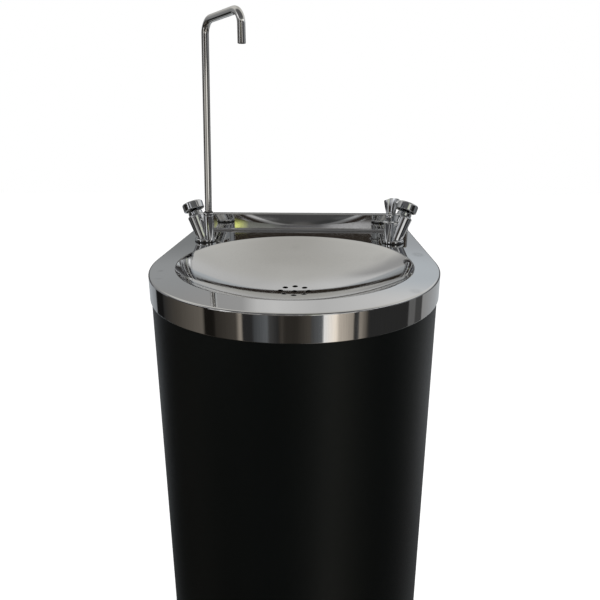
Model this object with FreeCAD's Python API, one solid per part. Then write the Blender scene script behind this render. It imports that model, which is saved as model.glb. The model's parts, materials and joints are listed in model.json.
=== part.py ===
import FreeCAD, Part
import math, os
from FreeCAD import Vector as V

os.makedirs("parts", exist_ok=True)

# ---------------------------------------------------------------------------
# Free-standing refrigerated drinking fountain, D-shaped column.
# Millimetres.  X to the user's right, Y to the rear, Z up.
# Origin: on the floor, at the middle of the plan rectangle.
# ---------------------------------------------------------------------------

# driving dimensions -------------------------------------------------------
WIDTH = 320.0            # overall width of the deck
DEPTH = 350.0            # overall depth of the deck
DECK_Z = 960.0           # height of the deck's top face above the floor
APRON_H = 27.0           # height of the polished band round the deck
SHEET = 1.2              # stainless sheet thickness
UP_Y = 163.5             # front face of the upstand behind the deck
UP_H = 25.0              # height of the upstand
YF = -DEPTH / 2.0
YR = DEPTH / 2.0

# front outline: three tangent arcs a side
FR1, FA1 = 180.05, math.radians(9.142)
FR2, FA2 = 151.10, math.radians(61.32)

BOWL_Y = -9.8            # bowl centre
BOWL_D = 36.0            # depth at the middle
HOLE_R = 3.25            # drain holes
HOLE_PCR = 16.1

TAP_X = 125.0            # tap base centres
TAP_Y = 90.7
TAP_LEAN = math.radians(27.0)
TAP_HOLE_R = 7.5
PUSH_R0 = 1.5            # slanted barrel axis offset at the deck
OUT_T = 8.5              # outlet barrel offset toward the bowl
TRAVEL = 4.0             # push-button travel

TUBE_R = 4.5             # swan neck tube, 9 mm outside
NECK_TOP = 1230.7        # height of the arm's centre line
NECK_LEAN = math.atan(6.9 / 234.7)
SPOUT_X, SPOUT_Y = -58.2, 22.9
SPOUT_END = 1195.3
NECK_BEND = 15.5

TANK_Y = 60.0            # cooling tank centre
COIL_R = 59.7            # evaporator coil centre-line radius
COIL_Y = TANK_Y - COIL_R

CASE_INSET = 1.6         # casing face behind the apron face
CASE_T = 1.2

Z = V(0, 0, 1)


# helpers --------------------------------------------------------------------
def save(name, shape):
    if isinstance(shape, (list, tuple)):
        shape = Part.makeCompound(list(shape))
    sol = shape.Solids
    assert sol, name
    for s in sol:
        assert s.isValid(), name + " invalid"
        assert s.Volume > 0, name + " negative"
    if len(sol) == 1:
        sol[0].exportStep("parts/%s.step" % name)
    else:
        Part.makeCompound(sol).exportStep("parts/%s.step" % name)
    b = shape.BoundBox
    print("%-22s n=%-3d vol=%10.1f  x %.1f %.1f  y %.1f %.1f  z %.1f %.1f" % (
        name, len(sol), sum(s.Volume for s in sol), b.XMin, b.XMax, b.YMin, b.YMax, b.ZMin, b.ZMax))


def box(x0, x1, y0, y1, z0, z1):
    return Part.makeBox(x1 - x0, y1 - y0, z1 - z0, V(x0, y0, z0))


def cyl(r, h, p=V(0, 0, 0), d=Z):
    return Part.makeCylinder(r, h, p, d)


def ring(ro, ri, h, p, d=Z):
    d = V(d); d.normalize()
    return cyl(ro, h, p, d).cut(cyl(ri, h + 2, p - d, d))


def hexprism(af, h, p, d=Z):
    r = af / 2.0 / math.cos(math.pi / 6)
    pts = [V(r * math.cos(math.pi / 3 * i), r * math.sin(math.pi / 3 * i), 0) for i in range(7)]
    s = Part.Face(Part.makePolygon(pts)).extrude(V(0, 0, h))
    return place(s, p, d)


def place(s, p, d=Z):
    s = s.copy()
    s.Placement = FreeCAD.Placement(p, FreeCAD.Rotation(Z, d)).multiply(s.Placement)
    return s


def revolve(pts, p=V(0, 0, 0), d=Z):
    """Closed (r, z) section turned about the axis; arcs given as 3-tuples of points."""
    edges = []
    cur = None
    for it in pts:
        if len(it) == 2:
            q = V(it[0], 0, it[1])
            if cur is not None and (q - cur).Length > 1e-6:
                edges.append(Part.LineSegment(cur, q).toShape())
            cur = q
        else:
            m = V(it[0], 0, it[1]); q = V(it[2], 0, it[3])
            edges.append(Part.Arc(cur, m, q).toShape())
            cur = q
    f = Part.Face(Part.Wire(edges))
    s = f.revolve(V(0, 0, 0), Z, 360)
    if s.Volume < 0:
        s = s.reversed()
    s = Part.Solid(s) if s.ShapeType == "Shell" else s
    return place(s, p, d)


def fuse(lst):
    s = lst[0]
    if len(lst) > 1:
        s = s.multiFuse(lst[1:])
    return s.removeSplitter()


def outline(inset, yb):
    """D-shaped plan wire: rear line at yb, straight sides, three-arc front."""
    a1, a2 = FA1, FA2
    c1 = (0.0, YF + FR1)
    p1 = (c1[0] + FR1 * math.sin(a1), c1[1] - FR1 * math.cos(a1))
    c2 = (p1[0] - FR2 * math.sin(a1), p1[1] + FR2 * math.cos(a1))
    p2 = (c2[0] + FR2 * math.sin(a2), c2[1] - FR2 * math.cos(a2))
    r3 = (WIDTH / 2.0 - p2[0]) / (1 - math.sin(a2))
    c3 = (p2[0] - r3 * math.sin(a2), p2[1] + r3 * math.cos(a2))

    def pt(c, r, a, s=1):
        return V(s * (c[0] + (r - inset) * math.sin(a)), c[1] - (r - inset) * math.cos(a), 0)

    hw = WIDTH / 2.0 - inset
    e = []
    side = pt(c3, r3, math.pi / 2)
    e.append(Part.LineSegment(V(hw, yb, 0), side).toShape())
    e.append(Part.Arc(side, pt(c3, r3, (a2 + math.pi / 2) / 2), pt(c3, r3, a2)).toShape())
    e.append(Part.Arc(pt(c2, FR2, a2), pt(c2, FR2, (a1 + a2) / 2), pt(c2, FR2, a1)).toShape())
    e.append(Part.Arc(pt(c1, FR1, a1), pt(c1, FR1, 0), pt(c1, FR1, a1, -1)).toShape())
    e.append(Part.Arc(pt(c2, FR2, a1, -1), pt(c2, FR2, (a1 + a2) / 2, -1), pt(c2, FR2, a2, -1)).toShape())
    e.append(Part.Arc(pt(c3, r3, a2, -1), pt(c3, r3, (a2 + math.pi / 2) / 2, -1), pt(c3, r3, math.pi / 2, -1)).toShape())
    e.append(Part.LineSegment(pt(c3, r3, math.pi / 2, -1), V(-hw, yb, 0)).toShape())
    e.append(Part.LineSegment(V(-hw, yb, 0), V(hw, yb, 0)).toShape())
    return Part.Wire(e)


def prism(inset, yb, z0, z1):
    f = Part.Face(outline(inset, yb))
    s = f.extrude(V(0, 0, z1 - z0))
    s.translate(V(0, 0, z0))
    return s


def path(points, radii):
    """Straight runs joined by tangent arcs, one wire."""
    pts = [V(*q) for q in points]
    if not isinstance(radii, (list, tuple)):
        radii = [radii] * (len(pts) - 2)
    edges = []
    cur = pts[0]
    length = 0.0
    for i in range(1, len(pts) - 1):
        a = pts[i] - pts[i - 1]; b = pts[i + 1] - pts[i]
        a.normalize(); b.normalize()
        turn = a.getAngle(b)
        r = radii[i - 1]
        t = r * math.tan(turn / 2)
        s = pts[i] - a * t
        e = pts[i] + b * t
        n = (b - a); n.normalize()
        m = pts[i] + n * (r / math.cos(turn / 2) - r)
        if (s - cur).Length > 1e-4:
            edges.append(Part.LineSegment(cur, s).toShape())
            length += (s - cur).Length
        edges.append(Part.Arc(s, m, e).toShape())
        length += r * turn
        cur = e
    edges.append(Part.LineSegment(cur, pts[-1]).toShape())
    length += (pts[-1] - cur).Length
    return Part.Wire(edges), length, (pts[1] - pts[0])


def tube(name, points, radii, ro, ri=0.0):
    w, length, d0 = path(points, radii)
    d0.normalize()
    p0 = V(*points[0])

    def sweep(r):
        c = Part.Wire(Part.makeCircle(r, p0, d0))
        return w.makePipeShell([c], True, True)
    s = sweep(ro)
    area = math.pi * ro ** 2
    if ri > 0:
        s = s.cut(sweep(ri))
        area -= math.pi * ri ** 2
    want = area * length
    got = s.Volume
    assert abs(got - want) < 0.01 * want, "%s volume %.1f expected %.1f" % (name, got, want)
    return s


# ---------------------------------------------------------------------------
# top deck: one pressed stainless piece - deck, apron, bowl and upstand
# ---------------------------------------------------------------------------
def bowl_section():
    """Top profile of the bowl: one spherical dish and a rolled lip, out to the flat deck."""
    r_l = 3.0                     # lip roll
    r_flat = 133.4                # where the roll meets the flat deck
    a_w = 2 * math.atan(BOWL_D / r_flat)
    Rs = r_flat / math.sin(a_w) - r_l
    lip_c = (r_flat, -r_l)
    lip_e = (r_flat - r_l * math.sin(a_w), -r_l + r_l * math.cos(a_w))
    lip_m = (r_flat - r_l * math.sin(a_w / 2), -r_l + r_l * math.cos(a_w / 2))
    d_c = (0.0, -BOWL_D + Rs)
    d_m = (Rs * math.sin(a_w / 2), d_c[1] - Rs * math.cos(a_w / 2))
    print("bowl: dish radius %.2f  rim slope %.2f deg" % (Rs, math.degrees(a_w)))
    return dict(lip_e=lip_e, lip_m=lip_m, lip_c=lip_c, r_flat=r_flat, d_c=d_c, d_m=d_m, Rs=Rs, a_w=a_w, r_l=r_l)


B = bowl_section()
t = SHEET


def off(c, p, grow):
    """Point p on an arc about c, moved outward (grow>0) along the radius."""
    d = math.hypot(p[0] - c[0], p[1] - c[1])
    k = (d + grow) / d
    return (c[0] + (p[0] - c[0]) * k, c[1] + (p[1] - c[1]) * k)


R_JOIN = 138.0
sec = [(0, -BOWL_D), (*B["d_m"], *B["lip_e"]), (*B["lip_m"], B["r_flat"], 0.0), (R_JOIN, 0.0), (R_JOIN, -t), (B["r_flat"], -t),
       (*off(B["lip_c"], B["lip_m"], -t), *off(B["lip_c"], B["lip_e"], -t)),
       (*off(B["d_c"], B["d_m"], t), 0, -BOWL_D - t), (0, -BOWL_D)]
bowl = revolve(sec, V(0, BOWL_Y, DECK_Z))

outer = prism(0, YR, DECK_Z - APRON_H, DECK_Z)
# soften the deck edge round the front and sides
edges = []
for e in outer.Edges:
    b = e.BoundBox
    if b.ZMin > DECK_Z - 0.01 and not (b.YMin > YR - 0.01):
        edges.append(e)
outer = outer.makeFillet(2.0, edges)
low = []
for e in outer.Edges:
    b = e.BoundBox
    if b.ZMax < DECK_Z - APRON_H + 0.01 and not (b.YMin > YR - 0.01):
        low.append(e)
outer = outer.makeFillet(0.9, low)

UPX = 157.5
up_r = 1.6
cove = 3.6
e = []
def ln(a, b): return Part.LineSegment(V(-UPX, *a), V(-UPX, *b)).toShape()
def ar(a, m, b): return Part.Arc(V(-UPX, *a), V(-UPX, *m), V(-UPX, *b)).toShape()
zt = DECK_Z + UP_H
s45 = math.sin(math.pi / 4)
e.append(ln((UP_Y - cove, DECK_Z - 8), (UP_Y - cove, DECK_Z)))
e.append(ar((UP_Y - cove, DECK_Z), (UP_Y - cove + cove * s45, DECK_Z + cove - cove * s45), (UP_Y, DECK_Z + cove)))
e.append(ln((UP_Y, DECK_Z + cove), (UP_Y, zt - up_r)))
e.append(ar((UP_Y, zt - up_r), (UP_Y + up_r - up_r * s45, zt - up_r + up_r * s45), (UP_Y + up_r, zt)))
e.append(ln((UP_Y + up_r, zt), (YR - up_r, zt)))
e.append(ar((YR - up_r, zt), (YR - up_r + up_r * s45, zt - up_r + up_r * s45), (YR, zt - up_r)))
e.append(ln((YR, zt - up_r), (YR, DECK_Z - 8)))
e.append(ln((YR, DECK_Z - 8), (UP_Y - cove, DECK_Z - 8)))
up = Part.Face(Part.Wire(e)).extrude(V(2 * UPX, 0, 0))
ue = []
for ed in up.Edges:
    b = ed.BoundBox
    if abs(b.XMin) > UPX - 0.01 and abs(b.XMax) > UPX - 0.01 and b.XMax - b.XMin < 0.1:
        if abs(b.YMin - UP_Y) < 0.01 and b.YMax - b.YMin < 0.01 and b.ZMax > DECK_Z + 10:
            ue.append(ed)
up = up.makeFillet(1.5, ue)
solid = outer.fuse(up)
inner = prism(SHEET, YR - SHEET, DECK_Z - APRON_H - 2, DECK_Z - SHEET)
upi = box(-UPX + SHEET, UPX - SHEET, UP_Y + SHEET, YR - SHEET, DECK_Z - 10, zt - SHEET)
solid = solid.cut(inner.fuse(upi))
solid = solid.cut(cyl(R_JOIN, 60, V(0, BOWL_Y, DECK_Z - 30)))
deck = solid.fuse(bowl).removeSplitter()
holes = [cyl(HOLE_R, 10, V(0, BOWL_Y, DECK_Z - BOWL_D - 5))]
for i in range(8):
    a = math.pi / 4 * i
    holes.append(cyl(HOLE_R, 10, V(HOLE_PCR * math.cos(a), BOWL_Y + HOLE_PCR * math.sin(a), DECK_Z - BOWL_D - 5)))
for s in (-1, 1):
    holes.append(cyl(TAP_HOLE_R, 10, V(s * TAP_X, TAP_Y, DECK_Z - 5)))
deck = deck.cut(Part.makeCompound(holes))
save("top_deck", deck)

# ---------------------------------------------------------------------------
# casing, frame, base
# ---------------------------------------------------------------------------
CI = CASE_INSET
CASE_Z0, CASE_Z1 = 18.0, 952.0
PAN_Y = 171.8            # outside of the casing's rear returns
case = prism(CI, PAN_Y, CASE_Z0, CASE_Z1).cut(prism(CI + CASE_T, PAN_Y - CASE_T, CASE_Z0 + CASE_T, CASE_Z1 + 5))
case = case.cut(prism(CI + 12.0, PAN_Y - 12.0, CASE_Z0 - 5, CASE_Z0 + 5))
case = case.cut(box(-144.0, 144.0, PAN_Y - 14.0, PAN_Y + 5, CASE_Z0 - 5, CASE_Z1 + 5))
# screw holes through the rear returns
SCREW_Z = [60.0, 275.0, 490.0, 705.0, 905.0]
SCREW_X = 149.5
sh = [cyl(2.2, 12, V(s * SCREW_X, PAN_Y - 8, z), V(0, 1, 0)) for s in (-1, 1) for z in SCREW_Z]
case = case.cut(Part.makeCompound(sh))
save("front_casing", case)

# base tray: flat floor with an upturned rim
BT0 = CASE_Z0 + CASE_T           # sits on the casing's bottom lip
BI = CI + CASE_T + 0.3
BYB = PAN_Y - CASE_T - 0.2
tray = prism(BI, BYB, BT0, BT0 + 28).cut(prism(BI + 2.0, BYB - 2.0, BT0 + 2.0, BT0 + 40))
FEET = [(-92, -92), (92, -92), (-122, 132), (122, 132)]
cuts = [cyl(5.3, 10, V(x, y, BT0 - 4)) for x, y in FEET]
# air slots in the floor under the machine space
for i in range(7):
    cuts.append(box(30 + i * 12, 35 + i * 12, 20, 80, BT0 - 1, BT0 + 4))
tray = tray.cut(Part.makeCompound(cuts))
POST_T = 1.5
# notch the rim for the rear posts
tray = tray.cut(Part.makeCompound([box(-160, -134, 144, 180, BT0 + 2.0, BT0 + 40), box(134, 160, 144, 180, BT0 + 2.0, BT0 + 40)]))
save("base_tray", tray)
TRAY_TOP = BT0 + 2.0             # 21.2

pads, studs, nuts = [], [], []
for x, y in FEET:
    pads.append(revolve([(0, 0), (18, 0), (19.4, 0.6, 20, 2), (20, 6), (16, 11), (5.6, 11), (5.6, 5), (0, 5), (0, 0)], V(x, y, 0)))
    st = cyl(5.0, 36.0, V(x, y, 5.0)).fuse(cyl(5.6, 6.0, V(x, y, 5.0))).removeSplitter()
    studs.append(st)
    for z0 in (11.2, TRAY_TOP):
        h = 8.0
        if z0 < 15:
            h = BT0 - 11.2
        n = hexprism(17.0, h, V(x, y, z0)).cut(cyl(5.02, 30, V(x, y, z0 - 5)))
        nuts.append(n)
save("feet_pads", pads)
save("feet_studs", studs + nuts)

# rear posts: angles standing in the corners behind the casing returns
POST_X = WIDTH / 2 - CI - CASE_T         # 157.2
POST_YB = PAN_Y - CASE_T                 # 170.6
posts = []
for s in (-1, 1):
    x0, x1 = sorted((s * POST_X, s * (POST_X - POST_T)))
    leg1 = box(x0, x1, POST_YB - 22, POST_YB, TRAY_TOP, 930.0)
    x0, x1 = sorted((s * POST_X, s * (POST_X - 18)))
    leg2 = box(x0, x1, POST_YB - POST_T, POST_YB, TRAY_TOP, 930.0)
    po = leg1.fuse(leg2).removeSplitter()
    po = po.cut(Part.makeCompound([cyl(1.97, 12, V(s * SCREW_X, POST_YB - 8, z), V(0, 1, 0)) for z in SCREW_Z]))
    posts.append(po)
save("rear_posts", posts)

# deck frame: ring of angle carrying the deck
fi = CI + CASE_T + 0.4
df = prism(fi, POST_YB, 930.0, DECK_Z - SHEET).cut(prism(fi + 1.5, POST_YB - 1.5, 925.0, DECK_Z - SHEET - 1.5))
df = df.cut(prism(fi + 13.0, POST_YB - 13.0, 920.0, DECK_Z + 5))
save("deck_frame", df)

# mid shelf: carries the cooling tank, hangs between the casing walls and the posts
SH_Z = 560.0
shelf = prism(fi, POST_YB - 1.7, SH_Z - 22.0, SH_Z + 2.0).cut(prism(fi + 1.5, POST_YB - 3.2, SH_Z - 30, SH_Z))
cuts = [cyl(21, 10, V(0, -66, SH_Z - 3)), cyl(7, 10, V(30, TANK_Y, SH_Z - 3)), cyl(7, 10, V(-108, COIL_Y, SH_Z - 3)),
        cyl(9, 10, V(112, COIL_Y, SH_Z - 3)), cyl(7, 10, V(-66, 138, SH_Z - 3)),
        box(-160, -133, 143, 180, SH_Z - 30, SH_Z + 5), box(133, 160, 143, 180, SH_Z - 30, SH_Z + 5)]
shelf = shelf.cut(Part.makeCompound(cuts))
save("mid_shelf", shelf)

# rear panel with louvres, and the opening for the service recess
RP_Z0, RP_Z1 = 24.0, 930.5
panel = box(-156.5, 156.5, PAN_Y, PAN_Y + 1.2, RP_Z0, RP_Z1)
SV_X, SV_Z0, SV_Z1 = 105.0, 392.0, 508.0
cuts = [box(-SV_X, SV_X, PAN_Y - 3, PAN_Y + 5, SV_Z0, SV_Z1)]
cuts += [cyl(2.2, 12, V(s * SCREW_X, PAN_Y - 8, z), V(0, 1, 0)) for s in (-1, 1) for z in SCREW_Z]
hoods = []
for cx in (-82.0, 0.0, 82.0):
    for i in range(10):
        z = 60.0 + i * 16.0
        cuts.append(box(cx - 33, cx + 33, PAN_Y - 3, PAN_Y + 5, z, z + 5))
        sec_l = [V(0, PAN_Y, z + 9.5), V(0, PAN_Y + 1.2, z + 9.5), V(0, PAN_Y + 2.9, z + 0.5), V(0, PAN_Y + 2.1, z + 0.5),
                 V(0, PAN_Y + 0.6, z + 7.0), V(0, PAN_Y, z + 7.0), V(0, PAN_Y, z + 9.5)]
        hd = Part.Face(Part.makePolygon(sec_l)).extrude(V(70, 0, 0))
        hd.translate(V(cx - 35, 0, 0))
        hoods.append(hd)
for cx in (-55.0, 55.0):
    for i in range(5):
        z = 800.0 + i * 16.0
        cuts.append(box(cx - 33, cx + 33, PAN_Y - 3, PAN_Y + 5, z, z + 5))
        sec_l = [V(0, PAN_Y, z + 9.5), V(0, PAN_Y + 1.2, z + 9.5), V(0, PAN_Y + 2.9, z + 0.5), V(0, PAN_Y + 2.1, z + 0.5),
                 V(0, PAN_Y + 0.6, z + 7.0), V(0, PAN_Y, z + 7.0), V(0, PAN_Y, z + 9.5)]
        hd = Part.Face(Part.makePolygon(sec_l)).extrude(V(70, 0, 0))
        hd.translate(V(cx - 35, 0, 0))
        hoods.append(hd)
panel = panel.cut(Part.makeCompound(cuts))
panel = panel.multiFuse(hoods).removeSplitter()
save("rear_panel", panel)

scr = []
for s in (-1, 1):
    for z in SCREW_Z:
        c = V(s * SCREW_X, PAN_Y + 1.2, z)
        hd = revolve([(0, 0), (3.8, 0), (3.8, 0.6), (2.4, 1.5, 0, 1.8), (0, 0)], c, V(0, 1, 0))
        sk = cyl(1.95, 10.5, c, V(0, -1, 0))
        q = hd.fuse(sk).removeSplitter()
        q = q.cut(Part.makeCompound([place(box(-2.2, 2.2, -0.45, 0.45, 0.9, 3), c, V(0, 1, 0)), place(box(-0.45, 0.45, -2.2, 2.2, 0.9, 3), c, V(0, 1, 0))]))
        scr.append(q)
save("rear_panel_screws", scr)

# service recess: pressed pan behind the opening in the rear panel
SV_Y = 140.0
pan = box(-SV_X, SV_X, SV_Y, PAN_Y, SV_Z0, SV_Z1).cut(box(-SV_X + 1.5, SV_X - 1.5, SV_Y + 1.5, PAN_Y + 1, SV_Z0 + 1.5, SV_Z1 - 1.5))
flg = box(-SV_X - 12, SV_X + 12, PAN_Y - 1.5, PAN_Y, SV_Z0 - 12, SV_Z1 + 12).cut(box(-SV_X + 0.5, SV_X - 0.5, PAN_Y - 3, PAN_Y + 1, SV_Z0 + 0.5, SV_Z1 - 0.5))
pan = pan.fuse(flg).removeSplitter()
IN_X, IN_Z = 30.0, 425.0                  # water inlet
WO_X, WO_Z = 76.0, 478.0                  # waste outlet
PW_X, PW_Z = -70.0, 472.0                 # power inlet
SWX, SWZ = -70.0, 420.0                   # rocker switch
TH_X, TH_Z = -22.0, 430.0                 # thermostat knob
cuts = [cyl(10.6, 10, V(IN_X, SV_Y - 4, IN_Z), V(0, 1, 0)), cyl(16.3, 10, V(WO_X, SV_Y - 4, WO_Z), V(0, 1, 0)),
        box(PW_X - 14, PW_X + 14, SV_Y - 4, SV_Y + 5, PW_Z - 10.2, PW_Z + 10.2),
        box(SWX - 6.6, SWX + 6.6, SV_Y - 4, SV_Y + 5, SWZ - 9.6, SWZ + 9.6),
        cyl(5.1, 10, V(TH_X, SV_Y - 4, TH_Z), V(0, 1, 0))]
pan = pan.cut(Part.makeCompound(cuts))
save("service_recess", pan)
YF1 = SV_Y + 1.5                          # outer face of the recess floor

# ---------------------------------------------------------------------------
# waste: gasket, cup, down pipe, trap, outlet
# ---------------------------------------------------------------------------
PADZ = DECK_Z - BOWL_D - SHEET            # lowest point of the dish's underside, 922.8
BC = V(0, BOWL_Y, 0)


def dish_under(r):
    """Height of the dish's underside at radius r."""
    return DECK_Z + B["d_c"][1] - math.sqrt((B["Rs"] + t) ** 2 - r ** 2)


def du(r):
    return dish_under(r) - PADZ


save("waste_gasket", revolve([(20.2, du(20.2)), (22.0, du(22.0), 23.8, du(23.8)), (23.8, -2.0), (20.2, -2.0), (20.2, du(20.2))], BC + V(0, 0, PADZ)))
gz = PADZ - 2.0
cup = revolve([(20, 0), (27, 0), (27, -2.5), (22.2, -2.5), (22.2, -15.2), (16.2, -19.5), (16.2, -38), (13.2, -38), (13.2, -18.2), (20, -14), (20, 0)],
              BC + V(0, 0, gz))
lug_c = []
studs_w, nuts_w = [], []
for k in range(3):
    a = math.radians(30 + 120 * k)
    x, y = 33.0 * math.cos(a), 33.0 * math.sin(a)
    lug_c.append((x, y))
lugs = []
for k in range(3):
    a = 30 + 120 * k
    arm = box(22.5, 33, -6.5, 6.5, -2.5, 0).fuse(cyl(6.5, 2.5, V(33, 0, -2.5)))
    arm.rotate(V(0, 0, 0), Z, a)
    arm.translate(BC + V(0, 0, gz))
    lugs.append(arm)
cup = cup.multiFuse(lugs).removeSplitter()
cup = cup.cut(Part.makeCompound([cyl(2.2, 10, BC + V(x, y, gz - 6)) for x, y in lug_c]))
save("waste_cup", cup)
# weld studs under the dish, and the nuts that hold the cup
for x, y in lug_c:
    ztop = dish_under(33.0 - 2.0) - 0.02
    studs_w.append(cyl(2.0, ztop - (gz - 10), BC + V(x, y, gz - 10)).fuse(cyl(3.2, 0.8, BC + V(x, y, dish_under(29.8) - 0.82))).removeSplitter())
    nuts_w.append(hexprism(7.0, 3.2, BC + V(x, y, gz - 2.5 - 3.2)).cut(cyl(2.02, 10, BC + V(x, y, gz - 9))))
save("waste_cup_fixings", studs_w + nuts_w)

PIPE_R, PIPE_I = 16.0, 13.8
wz0 = gz - 20.5
# pipe slips over the cup's spigot
WP = [(0, BOWL_Y, wz0), (0, BOWL_Y, wz0 - 36), (0, -66, wz0 - 72), (0, -66, 500)]
wpipe = tube("waste_pipe", WP, 24.0, 18.6, 16.3)
save("waste_pipe", wpipe)
WT = [(0, -66, 530), (0, -66, 425), (0, -14, 425), (0, -14, WO_Z), (WO_X, 56, WO_Z), (WO_X, 128, WO_Z)]
trap = tube("waste_trap", WT, [25.8, 25.8, 26.0, 26.0], 15.8, 13.8)
save("waste_trap", trap)
wout = ring(16.0, 13.8, PAN_Y + 2.2 - YF1, V(WO_X, YF1, WO_Z), V(0, 1, 0)).fuse(ring(15.6, 13.8, YF1 - 129.0, V(WO_X, 129.0, WO_Z), V(0, 1, 0)))
wout = wout.fuse(ring(21.0, 15.0, 2.5, V(WO_X, YF1, WO_Z), V(0, 1, 0)))
wout = wout.removeSplitter()
save("waste_outlet", wout)
wn = [ring(21.0, 15.65, 9.0, V(WO_X, SV_Y - 9.0, WO_Z), V(0, 1, 0)),
      ring(22.5, 18.65, 16.0, V(0, -66, 492.0)).fuse(ring(22.5, 15.85, 4.0, V(0, -66, 488.0))).removeSplitter()]
save("waste_ring_nuts", wn)

# ---------------------------------------------------------------------------
# cooling tank, coil and insulation
# ---------------------------------------------------------------------------
TK = V(0, TANK_Y, 0)
TK_R = 55.0
T0, T1 = 600.0, 795.0
tank = revolve([(0, 0), (TK_R - 8, 0), (TK_R - 8 + 8 * s45, 8 - 8 * s45, TK_R, 8), (TK_R, T1 - T0 - 8),
                (TK_R - 8 + 8 * s45, T1 - T0 - 8 + 8 * s45, TK_R - 8, T1 - T0), (0, T1 - T0), (0, 0)], TK + V(0, 0, T0))
tin = revolve([(0, 1), (TK_R - 8, 1), (TK_R - 8 + 7 * s45, 8 - 7 * s45, TK_R - 1, 8), (TK_R - 1, T1 - T0 - 8),
               (TK_R - 8 + 7 * s45, T1 - T0 - 8 + 7 * s45, TK_R - 8, T1 - T0 - 1), (0, T1 - T0 - 1), (0, 1)], TK + V(0, 0, T0))
tank = tank.cut(tin)
# sockets for the two water pipes
tank = tank.fuse(ring(8.0, 5.05, 14.0, V(30, TANK_Y, T0 - 9))).fuse(ring(7.0, 4.05, 14.0, V(0, TANK_Y, T1 - 5)))
tank = tank.cut(cyl(5.05, 30, V(30, TANK_Y, T0 - 15))).cut(cyl(4.05, 30, V(0, TANK_Y, T1 - 10))).removeSplitter()
save("cold_tank", tank)

helix = Part.makeHelix(15.0, 150.0, COIL_R)
circ = Part.Wire(Part.makeCircle(4.0, V(COIL_R, 0, 0), V(0, 1, 15.0 / (2 * math.pi * COIL_R))))
hx = Part.Wire(helix).makePipeShell([circ], True, True)
hx.rotate(V(0, 0, 0), Z, -90)
hx.translate(TK + V(0, 0, 625.0))
save("evaporator_coil", hx)

INS_R, INS_I = 88.0, 65.0
INS0, INS1, INSM = SH_Z + 2.0, 826.0, 803.0
PB = V(-0.646, 0.763, 0); PB.normalize()
ins = cyl(INS_R, INSM - INS0, TK + V(0, 0, INS0)).cut(cyl(INS_I, 300, TK + V(0, 0, INS0 + 28)))
cy = COIL_Y
ins = ins.cut(Part.makeCompound([cyl(8.6, 60, V(30, TANK_Y, INS0 - 5)),
                                 box(-100, 0, cy - 4, cy + 4, 621, 629), box(0, 100, cy - 5, cy + 5, 770, 780),
                                 cyl(1.8, 40, TK + PB * 60 + V(0, 0, 690), PB)]))
lid = cyl(INS_R, INS1 - INSM, TK + V(0, 0, INSM)).cut(cyl(7.5, 40, V(0, TANK_Y, INSM - 5)))
save("tank_insulation", [ins, lid])

# ---------------------------------------------------------------------------
# water side
# ---------------------------------------------------------------------------
inl = cyl(10.48, 26.0, V(IN_X, YF1 + 5.0, IN_Z), V(0, 1, 0)).fuse(hexprism(27.0, 5.0, V(IN_X, YF1, IN_Z), V(0, 1, 0)))
inl = inl.fuse(cyl(10.4, 16.0, V(IN_X, YF1 - 16.0, IN_Z), V(0, 1, 0)))
inl = inl.cut(cyl(7.0, 60.0, V(IN_X, YF1 - 4.0, IN_Z), V(0, 1, 0))).cut(cyl(5.05, 60, V(IN_X, YF1 - 40, IN_Z), V(0, 1, 0))).removeSplitter()
save("inlet_connector", inl)
inn = hexprism(26.0, 6.0, V(IN_X, SV_Y - 6.0, IN_Z), V(0, 1, 0)).cut(cyl(10.45, 20, V(IN_X, SV_Y - 10, IN_Z), V(0, 1, 0)))
save("supply_pipe", tube("supply_pipe", [(IN_X, YF1 - 4.0, IN_Z), (IN_X, TANK_Y, IN_Z), (IN_X, TANK_Y, T0 + 4)], 24.0, 5.0, 3.6))
FD_Z = 868.0
save("cold_pipe", tube("cold_pipe", [(0, TANK_Y, T1 - 4), (0, TANK_Y, FD_Z), (0, TAP_Y - 8.0, FD_Z)], 14.0, 4.0, 3.0))
tee = cyl(7.0, 32.0, V(-16, TAP_Y, FD_Z), V(1, 0, 0)).fuse(cyl(7.0, 16.0, V(0, TAP_Y, FD_Z), V(0, -1, 0)))
tee = tee.cut(cyl(3.0, 40, V(-20, TAP_Y, FD_Z), V(1, 0, 0))).cut(cyl(3.0, 20, V(0, TAP_Y, FD_Z), V(0, -1, 0)))
tee = tee.cut(Part.makeCompound([cyl(4.05, 20, V(8, TAP_Y, FD_Z), V(1, 0, 0)), cyl(4.05, 20, V(-8, TAP_Y, FD_Z), V(-1, 0, 0)),
                                 cyl(4.05, 20, V(0, TAP_Y - 8, FD_Z), V(0, -1, 0))])).removeSplitter()
save("tee_fitting", tee)
save("tap_feed_pipes", [tube("tap_feed_pipes", [(s * 8.0, TAP_Y, FD_Z), (s * TAP_X, TAP_Y, FD_Z), (s * TAP_X, TAP_Y, 928.0)], 18.0, 4.0, 3.0)
                        for s in (-1, 1)])
fn = [inn]
for s in (-1, 1):
    fn.append(hexprism(15.0, 10.0, V(s * TAP_X, TAP_Y, 909.8)).cut(cyl(4.05, 20, V(s * TAP_X, TAP_Y, 905))))
save("pipe_nuts", fn)

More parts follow.
